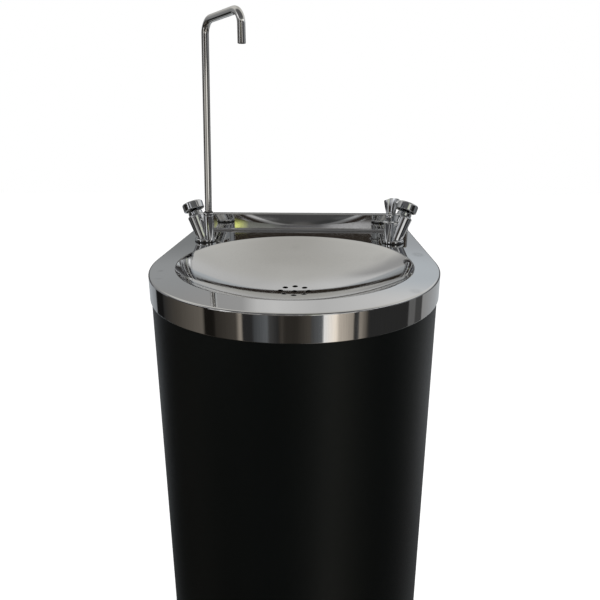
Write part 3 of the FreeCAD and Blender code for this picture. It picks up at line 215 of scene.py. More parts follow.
def make_deck():
    s = Shell()
    z0, z1 = DECK - APRON, DECK
    P, N = front_path(YR)
    N3 = np.column_stack([N, np.zeros(len(N))])

    def row(inset, z, yb=None):
        q = P - N * inset
        if yb is not None:
            q = q.copy(); q[0, 1] = yb; q[-1, 1] = yb
        return np.column_stack([q, np.full(len(q), z)])

    def strip(rows, normals):
        s.grid(np.stack(rows, 1), np.stack(normals, 1))
    up = np.tile([0, 0, 1.0], (len(P), 1))
    # underside of the band's edge, rolled lower edge, band, rolled upper edge
    strip([row(1.2, z0, YR - SHEET), row(0.9, z0)], [-up, -up])
    rows, nr = [], []
    for f in np.linspace(-math.pi / 2, 0, 7):
        rows.append(row(0.9 - 0.9 * math.cos(f), z0 + 0.9 + 0.9 * math.sin(f))); nr.append(N3 * math.cos(f) + up * math.sin(f))
    for z in np.linspace(z0 + 0.9, z1 - 2.0, 6)[1:]:
        rows.append(row(0, z)); nr.append(N3)
    for f in np.linspace(0, math.pi / 2, 11)[1:]:
        rows.append(row(2 - 2 * math.cos(f), z1 - 2 + 2 * math.sin(f))); nr.append(N3 * math.cos(f) + up * math.sin(f))
    strip(rows, nr)
    # inside wall
    strip([row(1.2, z0, YR - SHEET), row(1.2, z1 - SHEET, YR - SHEET)], [-N3, -N3])
    # rear wall, outside and inside, and its lower edge
    prof = [(0.9 - 0.9 * math.cos(f), z0 + 0.9 + 0.9 * math.sin(f)) for f in np.linspace(-math.pi / 2, 0, 7)]
    prof += [(0.0, z) for z in np.linspace(z0 + 0.9, z1 - 2.0, 6)[1:]]
    prof += [(2 - 2 * math.cos(f), z1 - 2 + 2 * math.sin(f)) for f in np.linspace(0, math.pi / 2, 11)[1:]]
    right = [(W / 2 - i, z) for i, z in prof]
    s.flat(right + [(-x, z) for x, z in right[::-1]], [], YR, (0, 1, 0), axes=(0, 2))
    xi = W / 2 - SHEET
    s.flat([(-xi, z0), (xi, z0), (xi, z1 - SHEET), (-xi, z1 - SHEET)], [], YR - SHEET, (0, -1, 0), axes=(0, 2))
    s.flat([(-xi, YR - SHEET), (xi, YR - SHEET), (W / 2 - 0.9, YR), (-(W / 2 - 0.9), YR)], [], z0, (0, 0, -1))
    # bowl, top and underside
    na = 360
    bp = bowl_profile()
    r_out = 138.0
    bp = np.vstack([bp, [r_out, 0.0, 0.0]])
    ang = np.linspace(0, 2 * math.pi, na, endpoint=False)
    ca, sa = np.cos(ang)[:, None], np.sin(ang)[:, None]

    def turned(r, z, nr_, nz_):
        pts = np.stack([ca * r, BOWL_Y + sa * r, np.broadcast_to(z, (na, len(r)))], -1)
        nn = np.stack([ca * nr_, sa * nr_, np.broadcast_to(nz_, (na, len(r)))], -1)
        s.grid(pts, nn, close_u=True)
    sl = bp[:, 2]
    turned(bp[:, 0], bp[:, 1] + DECK, -np.sin(sl), np.cos(sl))
    turned(bp[:, 0] + SHEET * np.sin(sl), bp[:, 1] + DECK - SHEET * np.cos(sl), np.sin(sl), -np.cos(sl))
    # middle of the dish with its punched holes (edges slightly drawn down)
    cen = [(0.0, BOWL_Y)] + [(HOLE_PCR * math.cos(math.pi / 4 * i), BOWL_Y + HOLE_PCR * math.sin(math.pi / 4 * i)) for i in range(8)]
    nh = 40
    ro = 0.22
    for grow, lower, sign in ((ro, 0.0, 1.0), (0.0, SHEET, -1.0)):
        k = len(s.v)
        r_edge = PAD_R + (SHEET * PAD_R / R_DISH if lower else 0.0)
        s.flat(circle((0, BOWL_Y), r_edge, na), [circle(c, HOLE_R + grow, nh) for c in cen], 0.0, (0, 0, sign))
        pts, nn = on_dish(s.v[k][:, :2], lower)
        s.v[k], s.n[k] = pts, nn * sign
    ha = np.linspace(0, 2 * math.pi, nh, endpoint=False)
    for c in cen:
        rim2 = circle(c, HOLE_R + ro, nh)
        top, tn = on_dish(rim2)
        out2 = np.column_stack([np.cos(ha), np.sin(ha), np.zeros(nh)])
        zc = top[:, 2]
        pts, nn = [], []
        for f in np.linspace(0, math.pi / 2, 6):
            q = np.column_stack([np.array(c) + out2[:, :2] * (HOLE_R + ro - ro * math.sin(f)), zc - ro + ro * math.cos(f)])
            pts.append(q)
            m = tn * math.cos(f) - out2 * math.sin(f)
            nn.append(m / np.linalg.norm(m, axis=1)[:, None])
        low, _ = on_dish(circle(c, HOLE_R, nh), SHEET)
        pts.append(low)
        nn.append(nn[-1])
        s.grid(np.stack(pts, 1), np.stack(nn, 1), close_u=True)
    # flat deck, top and underside, with the tap holes
    taps = [circle((x, TAP_Y), TAP_HOLE, 48) for x in (-TAP_X, TAP_X)]
    rim = circle((0, BOWL_Y), r_out, na)
    s.flat(row(2.0, 0)[:, :2], [rim] + taps, z1, (0, 0, 1))
    s.flat(row(1.2, 0, YR - SHEET)[:, :2], [rim] + taps, z1 - SHEET, (0, 0, -1))
    for t in taps:
        c = t.mean(0)
        n2 = np.column_stack([(c - t) / TAP_HOLE, np.zeros(len(t))])
        s.grid(np.stack([np.column_stack([t, np.full(len(t), z1)]), np.column_stack([t, np.full(len(t), z1 - SHEET)])], 1),
               np.stack([n2, n2], 1), close_u=True)
    # upstand: folded box with a cove at its foot and a rolled top
    rc, r_t, yb = 2.4, 1.6, YR - 0.02
    loop, nl = [], []
    corners = [(UPX - rc, UPY + rc, -90), (UPX - rc, yb - rc, 0), (-UPX + rc, yb - rc, 90), (-UPX + rc, UPY + rc, 180)]
    for cx, cy, a0 in corners:
        for a in np.radians(np.linspace(a0, a0 + 90, 13)):
            loop.append((cx + rc * math.cos(a), cy + rc * math.sin(a))); nl.append((math.cos(a), math.sin(a)))
    # the long faces get points of their own
    L2, M2 = [], []
    for i in range(len(loop)):
        L2.append(loop[i]); M2.append(nl[i])
        j = (i + 1) % len(loop)
        d = math.dist(loop[i], loop[j])
        if d > 20:
            for t in np.linspace(0, 1, 60)[1:-1]:
                L2.append((loop[i][0] + (loop[j][0] - loop[i][0]) * t, loop[i][1] + (loop[j][1] - loop[i][1]) * t)); M2.append(nl[i])
    L2, M2 = np.array(L2), np.array(M2)
    M3 = np.column_stack([M2, np.zeros(len(M2))])
    upn = np.tile([0, 0, 1.0], (len(L2), 1))
    cove = 3.6 * np.clip(-M2[:, 1], 0, 1) ** 8
    rows, nr = [], []

    def put(off, z, nn):
        q = L2 + M2 * np.broadcast_to(off, len(L2))[:, None]
        rows.append(np.column_stack([q, np.broadcast_to(z, len(L2))])); nr.append(nn)
    put(cove, z1 - 0.6, M3)
    put(cove, z1 + 0.015, M3)
    s.grid(np.stack(rows, 1), np.stack(nr, 1), close_u=True)
    rows, nr = [], []
    for f in np.linspace(0, math.pi / 2, 10):
        put(cove - cove * math.sin(f), z1 + 0.015 + cove - cove * math.cos(f), M3 * math.sin(f) + upn * math.cos(f) * (cove[:, None] > 0.02) + M3 * (cove[:, None] <= 0.02))
    zt2 = z1 + UPH - r_t
    base = z1 + 0.015 + cove
    for t in np.linspace(0, 1, 6)[1:]:
        put(0.0, base + (zt2 - base) * t, M3)
    for f in np.linspace(0, math.pi / 2, 12)[1:]:
        put(-(r_t - r_t * math.cos(f)), zt2 + r_t * math.sin(f), M3 * math.cos(f) + upn * math.sin(f))
    s.grid(np.stack(rows, 1), np.stack(nr, 1), close_u=True)
    s.flat(L2 - M2 * r_t, [], z1 + UPH, (0, 0, 1))
    s.flat(L2 + M2 * cove[:, None], [], z1 - 0.6, (0, 0, -1))
    return s.build("deck_polished")


def sweep_tube(name, pts, bend, r, ri, seg=72):
    """Round tube along straight runs and arcs, both faces, with softened ends."""
    pts = [np.array(p, float) for p in pts]
    line, tan = [pts[0]], []
    def unit(v): return v / np.linalg.norm(v)
    cl = [(pts[0], unit(pts[1] - pts[0]))]
    for i in range(1, len(pts) - 1):
        a, b = unit(pts[i] - pts[i - 1]), unit(pts[i + 1] - pts[i])
        turn = math.acos(np.clip(a @ b, -1, 1))
        t = bend * math.tan(turn / 2)
        s0 = pts[i] - a * t
        nrm = unit(b - a * (a @ b))
        cen = s0 + nrm * bend
        last = cl[-1][0]
        for k in np.linspace(0, 1, 14)[1:-1]:
            cl.append((last + (s0 - last) * k, a))
        for k in np.linspace(0, 1, 30):
            f = turn * k
            cl.append((cen - nrm * bend * math.cos(f) + a * bend * math.sin(f), a * math.cos(f) + nrm * math.sin(f)))
    last = cl[-1][0]
    for k in np.linspace(0, 1, 14)[1:]:
        cl.append((last + (pts[-1] - last) * k, unit(pts[-1] - pts[-2])))
    P = np.array([c[0] for c in cl]); T = np.array([c[1] for c in cl])
    u = np.cross(T[0], [0, 1, 0]); u /= np.linalg.norm(u)
    U = []
    for t_ in T:
        u = u - t_ * (u @ t_); u /= np.linalg.norm(u); U.append(u)
    U = np.array(U); Vv = np.cross(T, U)
    a = np.linspace(0, 2 * math.pi, seg, endpoint=False)
    D = U[:, None, :] * np.cos(a)[None, :, None] + Vv[:, None, :] * np.sin(a)[None, :, None]
    s = Shell()
    e = 0.22
    rows, nr = [], []
    def ringrow(i, rad, back, nn):
        rows.append(P[i] + T[i] * back + D[i] * rad); nr.append(nn)
    for f in np.linspace(-math.pi / 2, 0, 5)[:-1]:
        ringrow(0, r - e + e * math.cos(f), e + e * math.sin(f), D[0] * math.cos(f) + T[0] * math.sin(f))
    for i in range(len(P)):
        ringrow(i, r, e if i == 0 else (-e if i == len(P) - 1 else 0.0), D[i])
    for f in np.linspace(0, math.pi / 2, 5)[1:]:
        ringrow(-1, r - e + e * math.cos(f), -e + e * math.sin(f), D[-1] * math.cos(f) + T[-1] * math.sin(f))
    s.grid(np.stack(rows, 0), np.stack(nr, 0), close_v=True)
    rows = [P[i] + D[i] * ri for i in range(len(P))]
    s.grid(np.stack(rows, 0), np.stack([-D[i] for i in range(len(P))], 0), close_v=True)
    for i, sg in ((0, -1), (-1, 1)):
        s.grid(np.stack([P[i] + D[i] * (r - e), P[i] + D[i] * ri], 0), np.tile(T[i] * sg, (2, seg, 1)), close_v=True)
    return s.build(name)


def make_casing():
    """Wrapped sheet with folded rear returns and a lip along the foot."""
    s = Shell()
    ins, t, z0, z1, yb = 1.6, 1.2, 18.0, 952.0, 171.8
    P, N = front_path(yb - 2.4)
    hw = W / 2 - ins
    # outer face: return edge, fold, side, front
    def half(inset, fold):
        q = P - N * (ins + inset)
        a = np.linspace(math.pi / 2, 0, 9)
        rr = fold
        cx, cy = hw - inset - rr, yb - inset - rr
        arc = np.column_stack([cx + rr * np.cos(a), cy + rr * np.sin(a)])
        an = np.column_stack([np.cos(a), np.sin(a)])
        side = q[1:-1]; sn = N[1:-1]
        left = (arc * [-1, 1])[::-1]; ln = (an * [-1, 1])[::-1]
        pts = np.vstack([[(144.0, yb - inset)], arc, side, left, [(-144.0, yb - inset)]])
        nn = np.vstack([[(0, 1)], an, sn, ln, [(0, 1)]])
        return pts, nn
    o, on = half(0.0, 2.4)
    i_, inn = half(t, 1.2)
    on3 = np.column_stack([on, np.zeros(len(on))]); in3 = np.column_stack([inn, np.zeros(len(inn))])
    up = np.tile([0, 0, 1.0], (len(o), 1))
    e = 0.35
    rows, nr = [], []
    def put(off, z, nn):
        rows.append(np.column_stack([o - on * off, np.full(len(o), z)])); nr.append(nn)
    for f in np.linspace(-math.pi / 2, 0, 5):
        put(e - e * math.cos(f), z0 + e + e * math.sin(f), on3 * math.cos(f) + up * math.sin(f))
    for z in np.linspace(z0 + e, z1 - e, 40)[1:]:
        put(0, z, on3)
    for f in np.linspace(0, math.pi / 2, 5)[1:]:
        put(e - e * math.cos(f), z1 - e + e * math.sin(f), on3 * math.cos(f) + up * math.sin(f))
    s.grid(np.stack(rows, 1), np.stack(nr, 1))
    top_o = np.column_stack([o - on * e, np.full(len(o), z1)])
    top_i = np.column_stack([i_, np.full(len(o), z1)])
    s.grid(np.stack([top_o, top_i], 1), np.stack([up, up], 1))
    zz = np.linspace(z0 + t, z1, 8)
    s.grid(np.stack([np.column_stack([i_, np.full(len(o), z)]) for z in zz], 1), np.stack([-in3] * 8, 1))
    # cut ends of the returns
    for sg in (1, -1):
        x = 144.0 * sg
        k = 0 if sg == 1 else -1
        zz2 = [z0 + t, z1]
        s.add([(x, yb, z0 + e), (x, yb, z1 - e), (x, yb - e, z1), (x, yb - t, z1), (x, yb - t, z0 + t), (x, yb - e, z0)], (-sg, 0, 0), [(0, 1, 2, 3, 4, 5)])
    # lip along the foot
    q, n_ = front_path(yb - 2.4)
    lip_i = i_ - inn * 10.8
    keep = slice(1, -1)
    for z, sg in ((z0, -1), (z0 + t, 1)):
        a_ = (o - on * e) if sg < 0 else i_
        s.grid(np.stack([np.column_stack([a_, np.full(len(o), z)]), np.column_stack([lip_i, np.full(len(o), z)])], 1)[1:-1], np.stack([up * sg, up * sg], 1)[1:-1])
    s.grid(np.stack([np.column_stack([lip_i, np.full(len(o), z0)]), np.column_stack([lip_i, np.full(len(o), z0 + t)])], 1)[1:-1], np.stack([-in3, -in3], 1)[1:-1])
    return s.build("casing_wrap")


# ---------------------------------------------------------------------------
# node helpers
# ---------------------------------------------------------------------------
def lin(*rgb):
    """8-bit display colour to a linear colour."""
    out = []
    for c in rgb:
        c = c / 255.0
        out.append(c / 12.92 if c <= 0.04045 else ((c + 0.055) / 1.055) ** 2.4)
    return tuple(out)


class G:
    def __init__(self, tree):
        self.t = tree
        self.x = 0

    def node(self, kind, **props):
        n = self.t.nodes.new(kind)
        self.x += 40
        n.location = (self.x, -self.x % 700)
        for k, v in props.items():
            setattr(n, k, v)
        return n

    def put(self, sock, val):
        if isinstance(val, bpy.types.NodeSocket):
            self.t.links.new(val, sock)
        elif val is not None:
            if hasattr(sock.default_value, "__len__") and not hasattr(val, "__len__"):
                val = (val,) * len(sock.default_value)
            if hasattr(sock.default_value, "__len__") and len(sock.default_value) == 4 and len(val) == 3:
                val = (*val, 1.0)
            sock.default_value = val

    def m(self, op, a, b=None, c=None, clamp=False):
        n = self.node("ShaderNodeMath", operation=op, use_clamp=clamp)
        for s, v in zip(n.inputs, (a, b, c)):
            if v is not None:
                self.put(s, v)
        return n.outputs[0]

    def v(self, op, a, b=None):
        n = self.node("ShaderNodeVectorMath", operation=op)
        self.put(n.inputs[0], a)
        if b is not None:
            self.put(n.inputs[1], b)
        return n.outputs["Value"] if op in ("LENGTH", "DOT_PRODUCT", "DISTANCE") else n.outputs[0]

    def smooth(self, x, lo, hi, a=0.0, b=1.0):
        n = self.node("ShaderNodeMapRange", interpolation_type="SMOOTHSTEP")
        for s, v in zip(n.inputs, (x, lo, hi, a, b)):
            self.put(s, v)
        return n.outputs[0]

    def mix(self, f, a, b, kind="MIX"):
        n = self.node("ShaderNodeMix", data_type="RGBA", blend_type=kind)
        self.put(n.inputs[0], f); self.put(n.inputs[6], a); self.put(n.inputs[7], b)
        return n.outputs[2]

    def mixf(self, f, a, b):
        n = self.node("ShaderNodeMix", data_type="FLOAT")
        self.put(n.inputs[0], f); self.put(n.inputs[2], a); self.put(n.inputs[3], b)
        return n.outputs[0]

    def ramp(self, f, stops, mode="LINEAR"):
        n = self.node("ShaderNodeValToRGB")
        cr = n.color_ramp
        cr.interpolation = mode
        while len(cr.elements) < len(stops):
            cr.elements.new(0.5)
        for e, (p, c) in zip(cr.elements, stops):
            e.position = p
        for e, (p, c) in zip(cr.elements, stops):
            e.color = (*c, 1.0) if hasattr(c, "__len__") else (c, c, c, 1.0)
        self.put(n.inputs[0], f)
        return n.outputs[0]

    def noise(self, vec, scale, detail=3.0, rough=0.5, dist=0.0):
        n = self.node("ShaderNodeTexNoise")
        self.put(n.inputs["Vector"], vec)
        n.inputs["Scale"].default_value = scale
        n.inputs["Detail"].default_value = detail
        n.inputs["Roughness"].default_value = rough
        n.inputs["Distortion"].default_value = dist
        return n.outputs["Fac"]

    def coords(self, scale=(1, 1, 1)):
        n = self.node("ShaderNodeTexCoord")
        mp = self.node("ShaderNodeMapping")
        self.t.links.new(n.outputs["Object"], mp.inputs["Vector"])
        mp.inputs["Scale"].default_value = scale
        return mp.outputs[0]

    def xyz(self, vec):
        n = self.node("ShaderNodeSeparateXYZ")
        self.put(n.inputs[0], vec)
        return n.outputs

    def blob(self, p, c, r, soft=0.5):
        """1 inside an ellipse about c (metres) with radii r, falling to 0."""
        q = self.v("DIVIDE", self.v("SUBTRACT", p, c), r)
        return self.smooth(self.v("LENGTH", q), 1.0, 1.0 - soft, 0.0, 1.0)


def principled(name):
    mt = bpy.data.materials.new(name)
    mt.use_nodes = True
    nt = mt.node_tree
    for n in list(nt.nodes):
        nt.nodes.remove(n)
    g = G(nt)
    out = g.node("ShaderNodeOutputMaterial")
    b = g.node("ShaderNodeBsdfPrincipled")
    nt.links.new(b.outputs[0], out.inputs[0])
    return mt, g, b


def bump(g, b, height, dist, strength=1.0):
    n = g.node("ShaderNodeBump")
    n.inputs["Strength"].default_value = strength
    n.inputs["Distance"].default_value = dist
    g.put(n.inputs["Height"], height)
    g.t.links.new(n.outputs[0], b.inputs["Normal"])


# ---------------------------------------------------------------------------
# materials
# ---------------------------------------------------------------------------
def mirror_steel():
    """Mirror-polished sheet: haze, wiped smudges and hairlines; the band round the edge keeps a faint upright grain."""
    mt, g, b = principled("mirror_stainless")
    p = g.coords()
    x, y, z = g.xyz(p)[:3]
    low = g.noise(p, 9.0, 3.0, 0.5, 0.6)
    mid = g.noise(p, 55.0, 4.0, 0.6, 0.4)
    wipe = g.noise(g.coords((34.0, 9.0, 20.0)), 6.0, 4.0, 0.55, 1.2)
    grain = g.noise(g.coords((1.0, 1.0, 0.03)), 1400.0, 2.0, 0.6)
    hair = g.noise(g.coords((900.0, 14.0, 40.0)), 1.0, 2.0, 0.5, 0.3)
    band = g.smooth(z, 0.9575, 0.9565)                     # 1 on the band under the deck
    # thumb and wipe marks on the deck and in the bowl
    marks = None
    for c, r, s, a in (((0.146, 0.0262, 0.960), (0.0088, 0.0140, 0.01), 0.55, 0.62),
                       ((0.118, -0.1116, 0.960), (0.0078, 0.0095, 0.01), 0.7, 0.45),
                       ((-0.1403, -0.0565, 0.960), (0.0045, 0.0060, 0.01), 0.7, 0.42),
                       ((-0.1339, -0.0839, 0.960), (0.0060, 0.0042, 0.01), 0.7, 0.36),
                       ((0.103, 0.0445, 0.951), (0.016, 0.014, 0.03), 0.95, 0.24),
                       ((0.112, 0.0260, 0.951), (0.010, 0.013, 0.03), 0.95, 0.22),
                       ((-0.004, 0.1020, 0.948), (0.010, 0.010, 0.03), 0.95, 0.16)):
        q = g.m("MULTIPLY", g.blob(p, c, r, s), a)
        marks = q if marks is None else g.m("MAXIMUM", marks, q)
    marks = g.m("MULTIPLY", marks, g.smooth(mid, 0.25, 0.62, 0.55, 1.0))
    col = g.ramp(low, [(0.25, (0.635, 0.632, 0.622)), (0.75, (0.690, 0.688, 0.680))])
    col = g.mix(g.m("MULTIPLY", marks, 0.72), col, (0.38, 0.38, 0.37))
    col = g.mix(g.m("MULTIPLY", g.smooth(grain, 0.35, 0.75), g.m("MULTIPLY", band, 0.20)), col, (0.40, 0.40, 0.40))
    g.put(b.inputs["Base Color"], col)
    b.inputs["Metallic"].default_value = 1.0
    r0 = g.smooth(wipe, 0.35, 0.8, 0.022, 0.055)
    r0 = g.m("ADD", r0, g.m("MULTIPLY", marks, 0.14))
    r0 = g.m("ADD", r0, g.m("MULTIPLY", band, 0.018))
    g.put(b.inputs["Roughness"], r0)
    h = g.m("ADD", g.m("MULTIPLY", hair, 0.35), g.m("MULTIPLY", g.m("MULTIPLY", grain, band), 1.0))
    h = g.m("ADD", h, g.m("MULTIPLY", low, 3.0))
    bump(g, b, h, 0.000012, 0.35)
    return mt


def chrome():
    """Bright plating over polished castings: very slight orange peel and dulling."""
    mt, g, b = principled("chrome_plate")
    p = g.coords()
    n1 = g.noise(p, 130.0, 3.0, 0.55)
    n2 = g.noise(p, 900.0, 2.0, 0.6)
    g.put(b.inputs["Base Color"], g.ramp(n1, [(0.3, (0.60, 0.61, 0.62)), (0.7, (0.70, 0.705, 0.71))]))
    b.inputs["Metallic"].default_value = 1.0
    g.put(b.inputs["Roughness"], g.smooth(n2, 0.4, 0.85, 0.028, 0.085))
    bump(g, b, g.noise(p, 210.0, 2.0, 0.5), 0.00004, 0.22)
    return mt


def tube_steel():
    """Drawn tube, polished along its length: fine lines and a soft sheen."""
    mt, g, b = principled("tube_stainless")
    ln = g.noise(g.coords((1.0, 1.0, 0.012)), 1500.0, 2.0, 0.55)
    cl = g.noise(g.coords(), 14.0, 3.0, 0.5)
    g.put(b.inputs["Base Color"], g.ramp(cl, [(0.3, (0.66, 0.65, 0.625)), (0.7, (0.73, 0.72, 0.695))]))
    b.inputs["Metallic"].default_value = 1.0
    g.put(b.inputs["Roughness"], g.smooth(ln, 0.3, 0.8, 0.06, 0.11))
    bump(g, b, ln, 0.000008, 0.15)
    return mt


def powder_coat():
    """Satin black powder coat: fine orange peel, a little colour drift, tiny dust."""
    mt, g, b = principled("black_powder_coat")
    p = g.coords()
    big = g.noise(p, 3.0, 3.0, 0.5, 0.3)
    peel = g.noise(p, 900.0, 3.0, 0.55)
    fine = g.noise(p, 3200.0, 2.0, 0.5)
    col = g.ramp(big, [(0.3, (0.0014, 0.0018, 0.0017)), (0.7, (0.0022, 0.0028, 0.0027))])
    dust = g.smooth(g.noise(p, 640.0, 1.0, 0.4), 0.80, 0.86)
    col = g.mix(g.m("MULTIPLY", dust, 0.12), col, (0.03, 0.03, 0.03))
    g.put(b.inputs["Base Color"], col)
    g.put(b.inputs["Roughness"], g.smooth(peel, 0.3, 0.75, 0.36, 0.46))
    b.inputs["IOR"].default_value = 1.40
    b.inputs["Specular IOR Level"].default_value = 0.36
    b.inputs["Specular Tint"].default_value = (0.92, 1.0, 0.98, 1.0)
    bump(g, b, g.m("ADD", g.m("MULTIPLY", peel, 1.0), g.m("MULTIPLY", fine, 0.35)), 0.00011, 0.5)
    return mt


def metal(name, c0, c1, r0, r1, scale=40.0, grain=None, bmp=0.00005, spangle=0.0):
    mt, g, b = principled(name)
    p = g.coords()
    n1 = g.noise(p, scale, 4.0, 0.55, 0.3)
    f = n1
    if spangle:
        vr = g.node("ShaderNodeTexVoronoi", feature="F1")
        g.put(vr.inputs["Vector"], p)
        vr.inputs["Scale"].default_value = spangle
        f = g.m("ADD", g.m("MULTIPLY", g.xyz(vr.outputs["Color"])[0], 0.7), g.m("MULTIPLY", n1, 0.3))
    g.put(b.inputs["Base Color"], g.ramp(f, [(0.2, c0), (0.8, c1)]))
    b.inputs["Metallic"].default_value = 1.0
    gr = g.noise(g.coords(grain or (1, 1, 1)), 700.0 if grain else scale * 12, 3.0, 0.6)
    g.put(b.inputs["Roughness"], g.smooth(g.m("ADD", g.m("MULTIPLY", gr, 0.6), g.m("MULTIPLY", f, 0.4)), 0.25, 0.75, r0, r1))
    bump(g, b, gr, bmp, 0.4)
    return mt


def plastic(name, c0, c1, r0, r1, scale=60.0, tex=1200.0, bmp=0.00006, sub=0.0):
    mt, g, b = principled(name)
    p = g.coords()
    n1 = g.noise(p, scale, 4.0, 0.55, 0.2)
    n2 = g.noise(p, tex, 3.0, 0.6)
    g.put(b.inputs["Base Color"], g.ramp(n1, [(0.25, c0), (0.75, c1)]))
    g.put(b.inputs["Roughness"], g.smooth(n2, 0.3, 0.75, r0, r1))
    bump(g, b, n2, bmp, 0.45)
    return mt


MATS = {
    "mirror_stainless": mirror_steel(),
    "chrome": chrome(),
    "tube_stainless": tube_steel(),
    "black_powder_coat": powder_coat(),
    "galvanised_steel": metal("galvanised_steel", (0.40, 0.41, 0.42), (0.60, 0.61, 0.62), 0.34, 0.52, 14.0, spangle=70.0),
    "zinc_steel": metal("zinc_steel", (0.52, 0.52, 0.50), (0.66, 0.66, 0.63), 0.20, 0.34, 90.0),
    "satin_stainless": metal("satin_stainless", (0.52, 0.52, 0.51), (0.64, 0.64, 0.62), 0.24, 0.38, 30.0, grain=(1, 1, 0.02)),
    "spring_steel": metal("spring_steel", (0.40, 0.40, 0.41), (0.54, 0.54, 0.55), 0.22, 0.34, 200.0),
    "copper": metal("copper", (0.62, 0.28, 0.16), (0.80, 0.43, 0.27), 0.20, 0.38, 34.0),
    "brass": metal("brass", (0.66, 0.47, 0.20), (0.80, 0.61, 0.30), 0.16, 0.30, 80.0),
    "aluminium_fin": metal("aluminium_fin", (0.66, 0.67, 0.68), (0.80, 0.81, 0.82), 0.24, 0.40, 60.0),
    "black_enamel": plastic("black_enamel", (0.010, 0.010, 0.011), (0.018, 0.018, 0.019), 0.22, 0.32, 20.0, 260.0, 0.00008),
    "black_rubber": plastic("black_rubber", (0.012, 0.012, 0.012), (0.024, 0.023, 0.022), 0.55, 0.78, 90.0, 1500.0, 0.00010),
    "black_plastic": plastic("black_plastic", (0.014, 0.014, 0.015), (0.022, 0.022, 0.023), 0.40, 0.55),
    "grey_plastic": plastic("grey_plastic", (0.22, 0.23, 0.24), (0.29, 0.30, 0.31), 0.40, 0.55),
    "red_plastic": plastic("red_plastic", (0.36, 0.016, 0.010), (0.50, 0.030, 0.018), 0.22, 0.32),
    "white_plastic": plastic("white_plastic", (0.70, 0.70, 0.68), (0.80, 0.80, 0.78), 0.28, 0.40),
    "white_tubing": plastic("white_tubing", (0.68, 0.70, 0.72), (0.80, 0.81, 0.82), 0.25, 0.36),
    "insulation_foam": plastic("insulation_foam", (0.70, 0.68, 0.58), (0.86, 0.85, 0.78), 0.80, 0.95, 120.0, 420.0, 0.0006),
    "cable_sheath": plastic("cable_sheath", (0.014, 0.014, 0.014), (0.028, 0.028, 0.028), 0.45, 0.62, 90.0, 900.0),
}

SLOT = {s["node"]: s["material_slot"] for s in frame["record"].get("subparts", []) if s.get("material_slot")}
for node, ob in frame["nodes"].items():
    ob.data.materials.clear()
    ob.data.materials.append(MATS[SLOT[node]])


# ---------------------------------------------------------------------------
# pieces that stand for CAD nodes
# ---------------------------------------------------------------------------
def stand_for(ob, node, body="cabinet"):
    ob.data.materials.append(MATS[SLOT[node]])
    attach(ob, body)
    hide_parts(node)
    return ob


deck = stand_for(make_deck(), "top_deck")
casing = stand_for(make_casing(), "front_casing")

# swan neck: the CAD part's own centre line
_h = np.array([-TAP_X, TAP_Y - BOWL_Y, 0.0]); _h /= np.linalg.norm(_h)
_po = np.array([-TAP_X, TAP_Y, DECK]) - _h * 8.5
_lean = math.atan(6.9 / 234.7)
_nv = np.array([math.sin(_lean), 0, math.cos(_lean)])
_nb = np.array([_po[0], _po[1], DECK + 36.0])
_c1 = _nb + _nv * ((1230.7 - _nb[2]) / _nv[2])
neck = stand_for(sweep_tube("swan_neck_tube", [_nb - _nv * 12.0, _c1, (-58.2, 22.9, 1230.7), (-58.4, 22.9, 1195.3)], 15.5, 4.5, 3.6), "gooseneck", "gooseneck")


def return_spring(name, side, seg=14, per_turn=40):
    """Round wire helix under the push button, with rounded wire ends."""
    lean = math.radians(27.0)
    h = np.array([side * TAP_X, TAP_Y - BOWL_Y, 0.0]); h /= np.linalg.norm(h)
    ax = h * math.sin(lean) + np.array([0.0, 0.0, 1.0]) * math.cos(lean)
    seat = np.array([side * TAP_X, TAP_Y, DECK]) + h * 1.5 + ax * 14.7
    q = Vector((0, 0, 1)).rotation_difference(Vector(ax))
    u, v = np.array(q @ Vector((1, 0, 0))), np.array(q @ Vector((0, 1, 0)))
    turns, wr, cr = 4.5, 0.6, 4.6
    rise = 29.2 - 14.7 - 2.6 * wr
    f = np.linspace(0, 1, int(turns * per_turn) + 1)
    w = f * turns * 2 * math.pi
    P = seat + ax * 1.3 * wr + np.outer(f * rise, ax) + cr * (np.outer(np.cos(w), u) + np.outer(np.sin(w), v))
    T = np.outer(np.full(len(f), rise / (turns * 2 * math.pi)), ax) + cr * (np.outer(-np.sin(w), u) + np.outer(np.cos(w), v))
    T /= np.linalg.norm(T, axis=1)[:, None]
    O = np.outer(np.cos(w), u) + np.outer(np.sin(w), v)
    B = np.cross(T, O)
    a = np.linspace(0, 2 * math.pi, seg, endpoint=False)
    D = O[:, None, :] * np.cos(a)[None, :, None] + B[:, None, :] * np.sin(a)[None, :, None]
    rows = [P[0] - T[0] * wr * math.cos(g_) + D[0] * wr * math.sin(g_) for g_ in np.linspace(0, math.pi / 2, 5)[1:-1]]
    rows += [P[i] + D[i] * wr for i in range(len(f))]
    rows += [P[-1] + T[-1] * wr * math.sin(g_) + D[-1] * wr * math.cos(g_) for g_ in np.linspace(0, math.pi / 2, 5)[1:-1]]
    n = len(rows)
    co = [tuple(c * MM) for r in rows for c in r] + [tuple((P[0] - T[0] * wr) * MM), tuple((P[-1] + T[-1] * wr) * MM)]
    fc = [(i * seg + j, i * seg + (j + 1) % seg, (i + 1) * seg + (j + 1) % seg, (i + 1) * seg + j) for i in range(n - 1) for j in range(seg)]
    fc += [(n * seg, (j + 1) % seg, j) for j in range(seg)]
    fc += [(n * seg + 1, (n - 1) * seg + j, (n - 1) * seg + (j + 1) % seg) for j in range(seg)]
    me = bpy.data.meshes.new(name)
    me.from_pydata(co, [], fc)
    me.validate()
    me.polygons.foreach_set("use_smooth", [True] * len(me.polygons))
    me.update()
    ob = bpy.data.objects.new(name, me)
    bpy.context.scene.collection.objects.link(ob)
    return ob, tuple(float(c) for c in ax), tuple(float(c) for c in seat * MM)


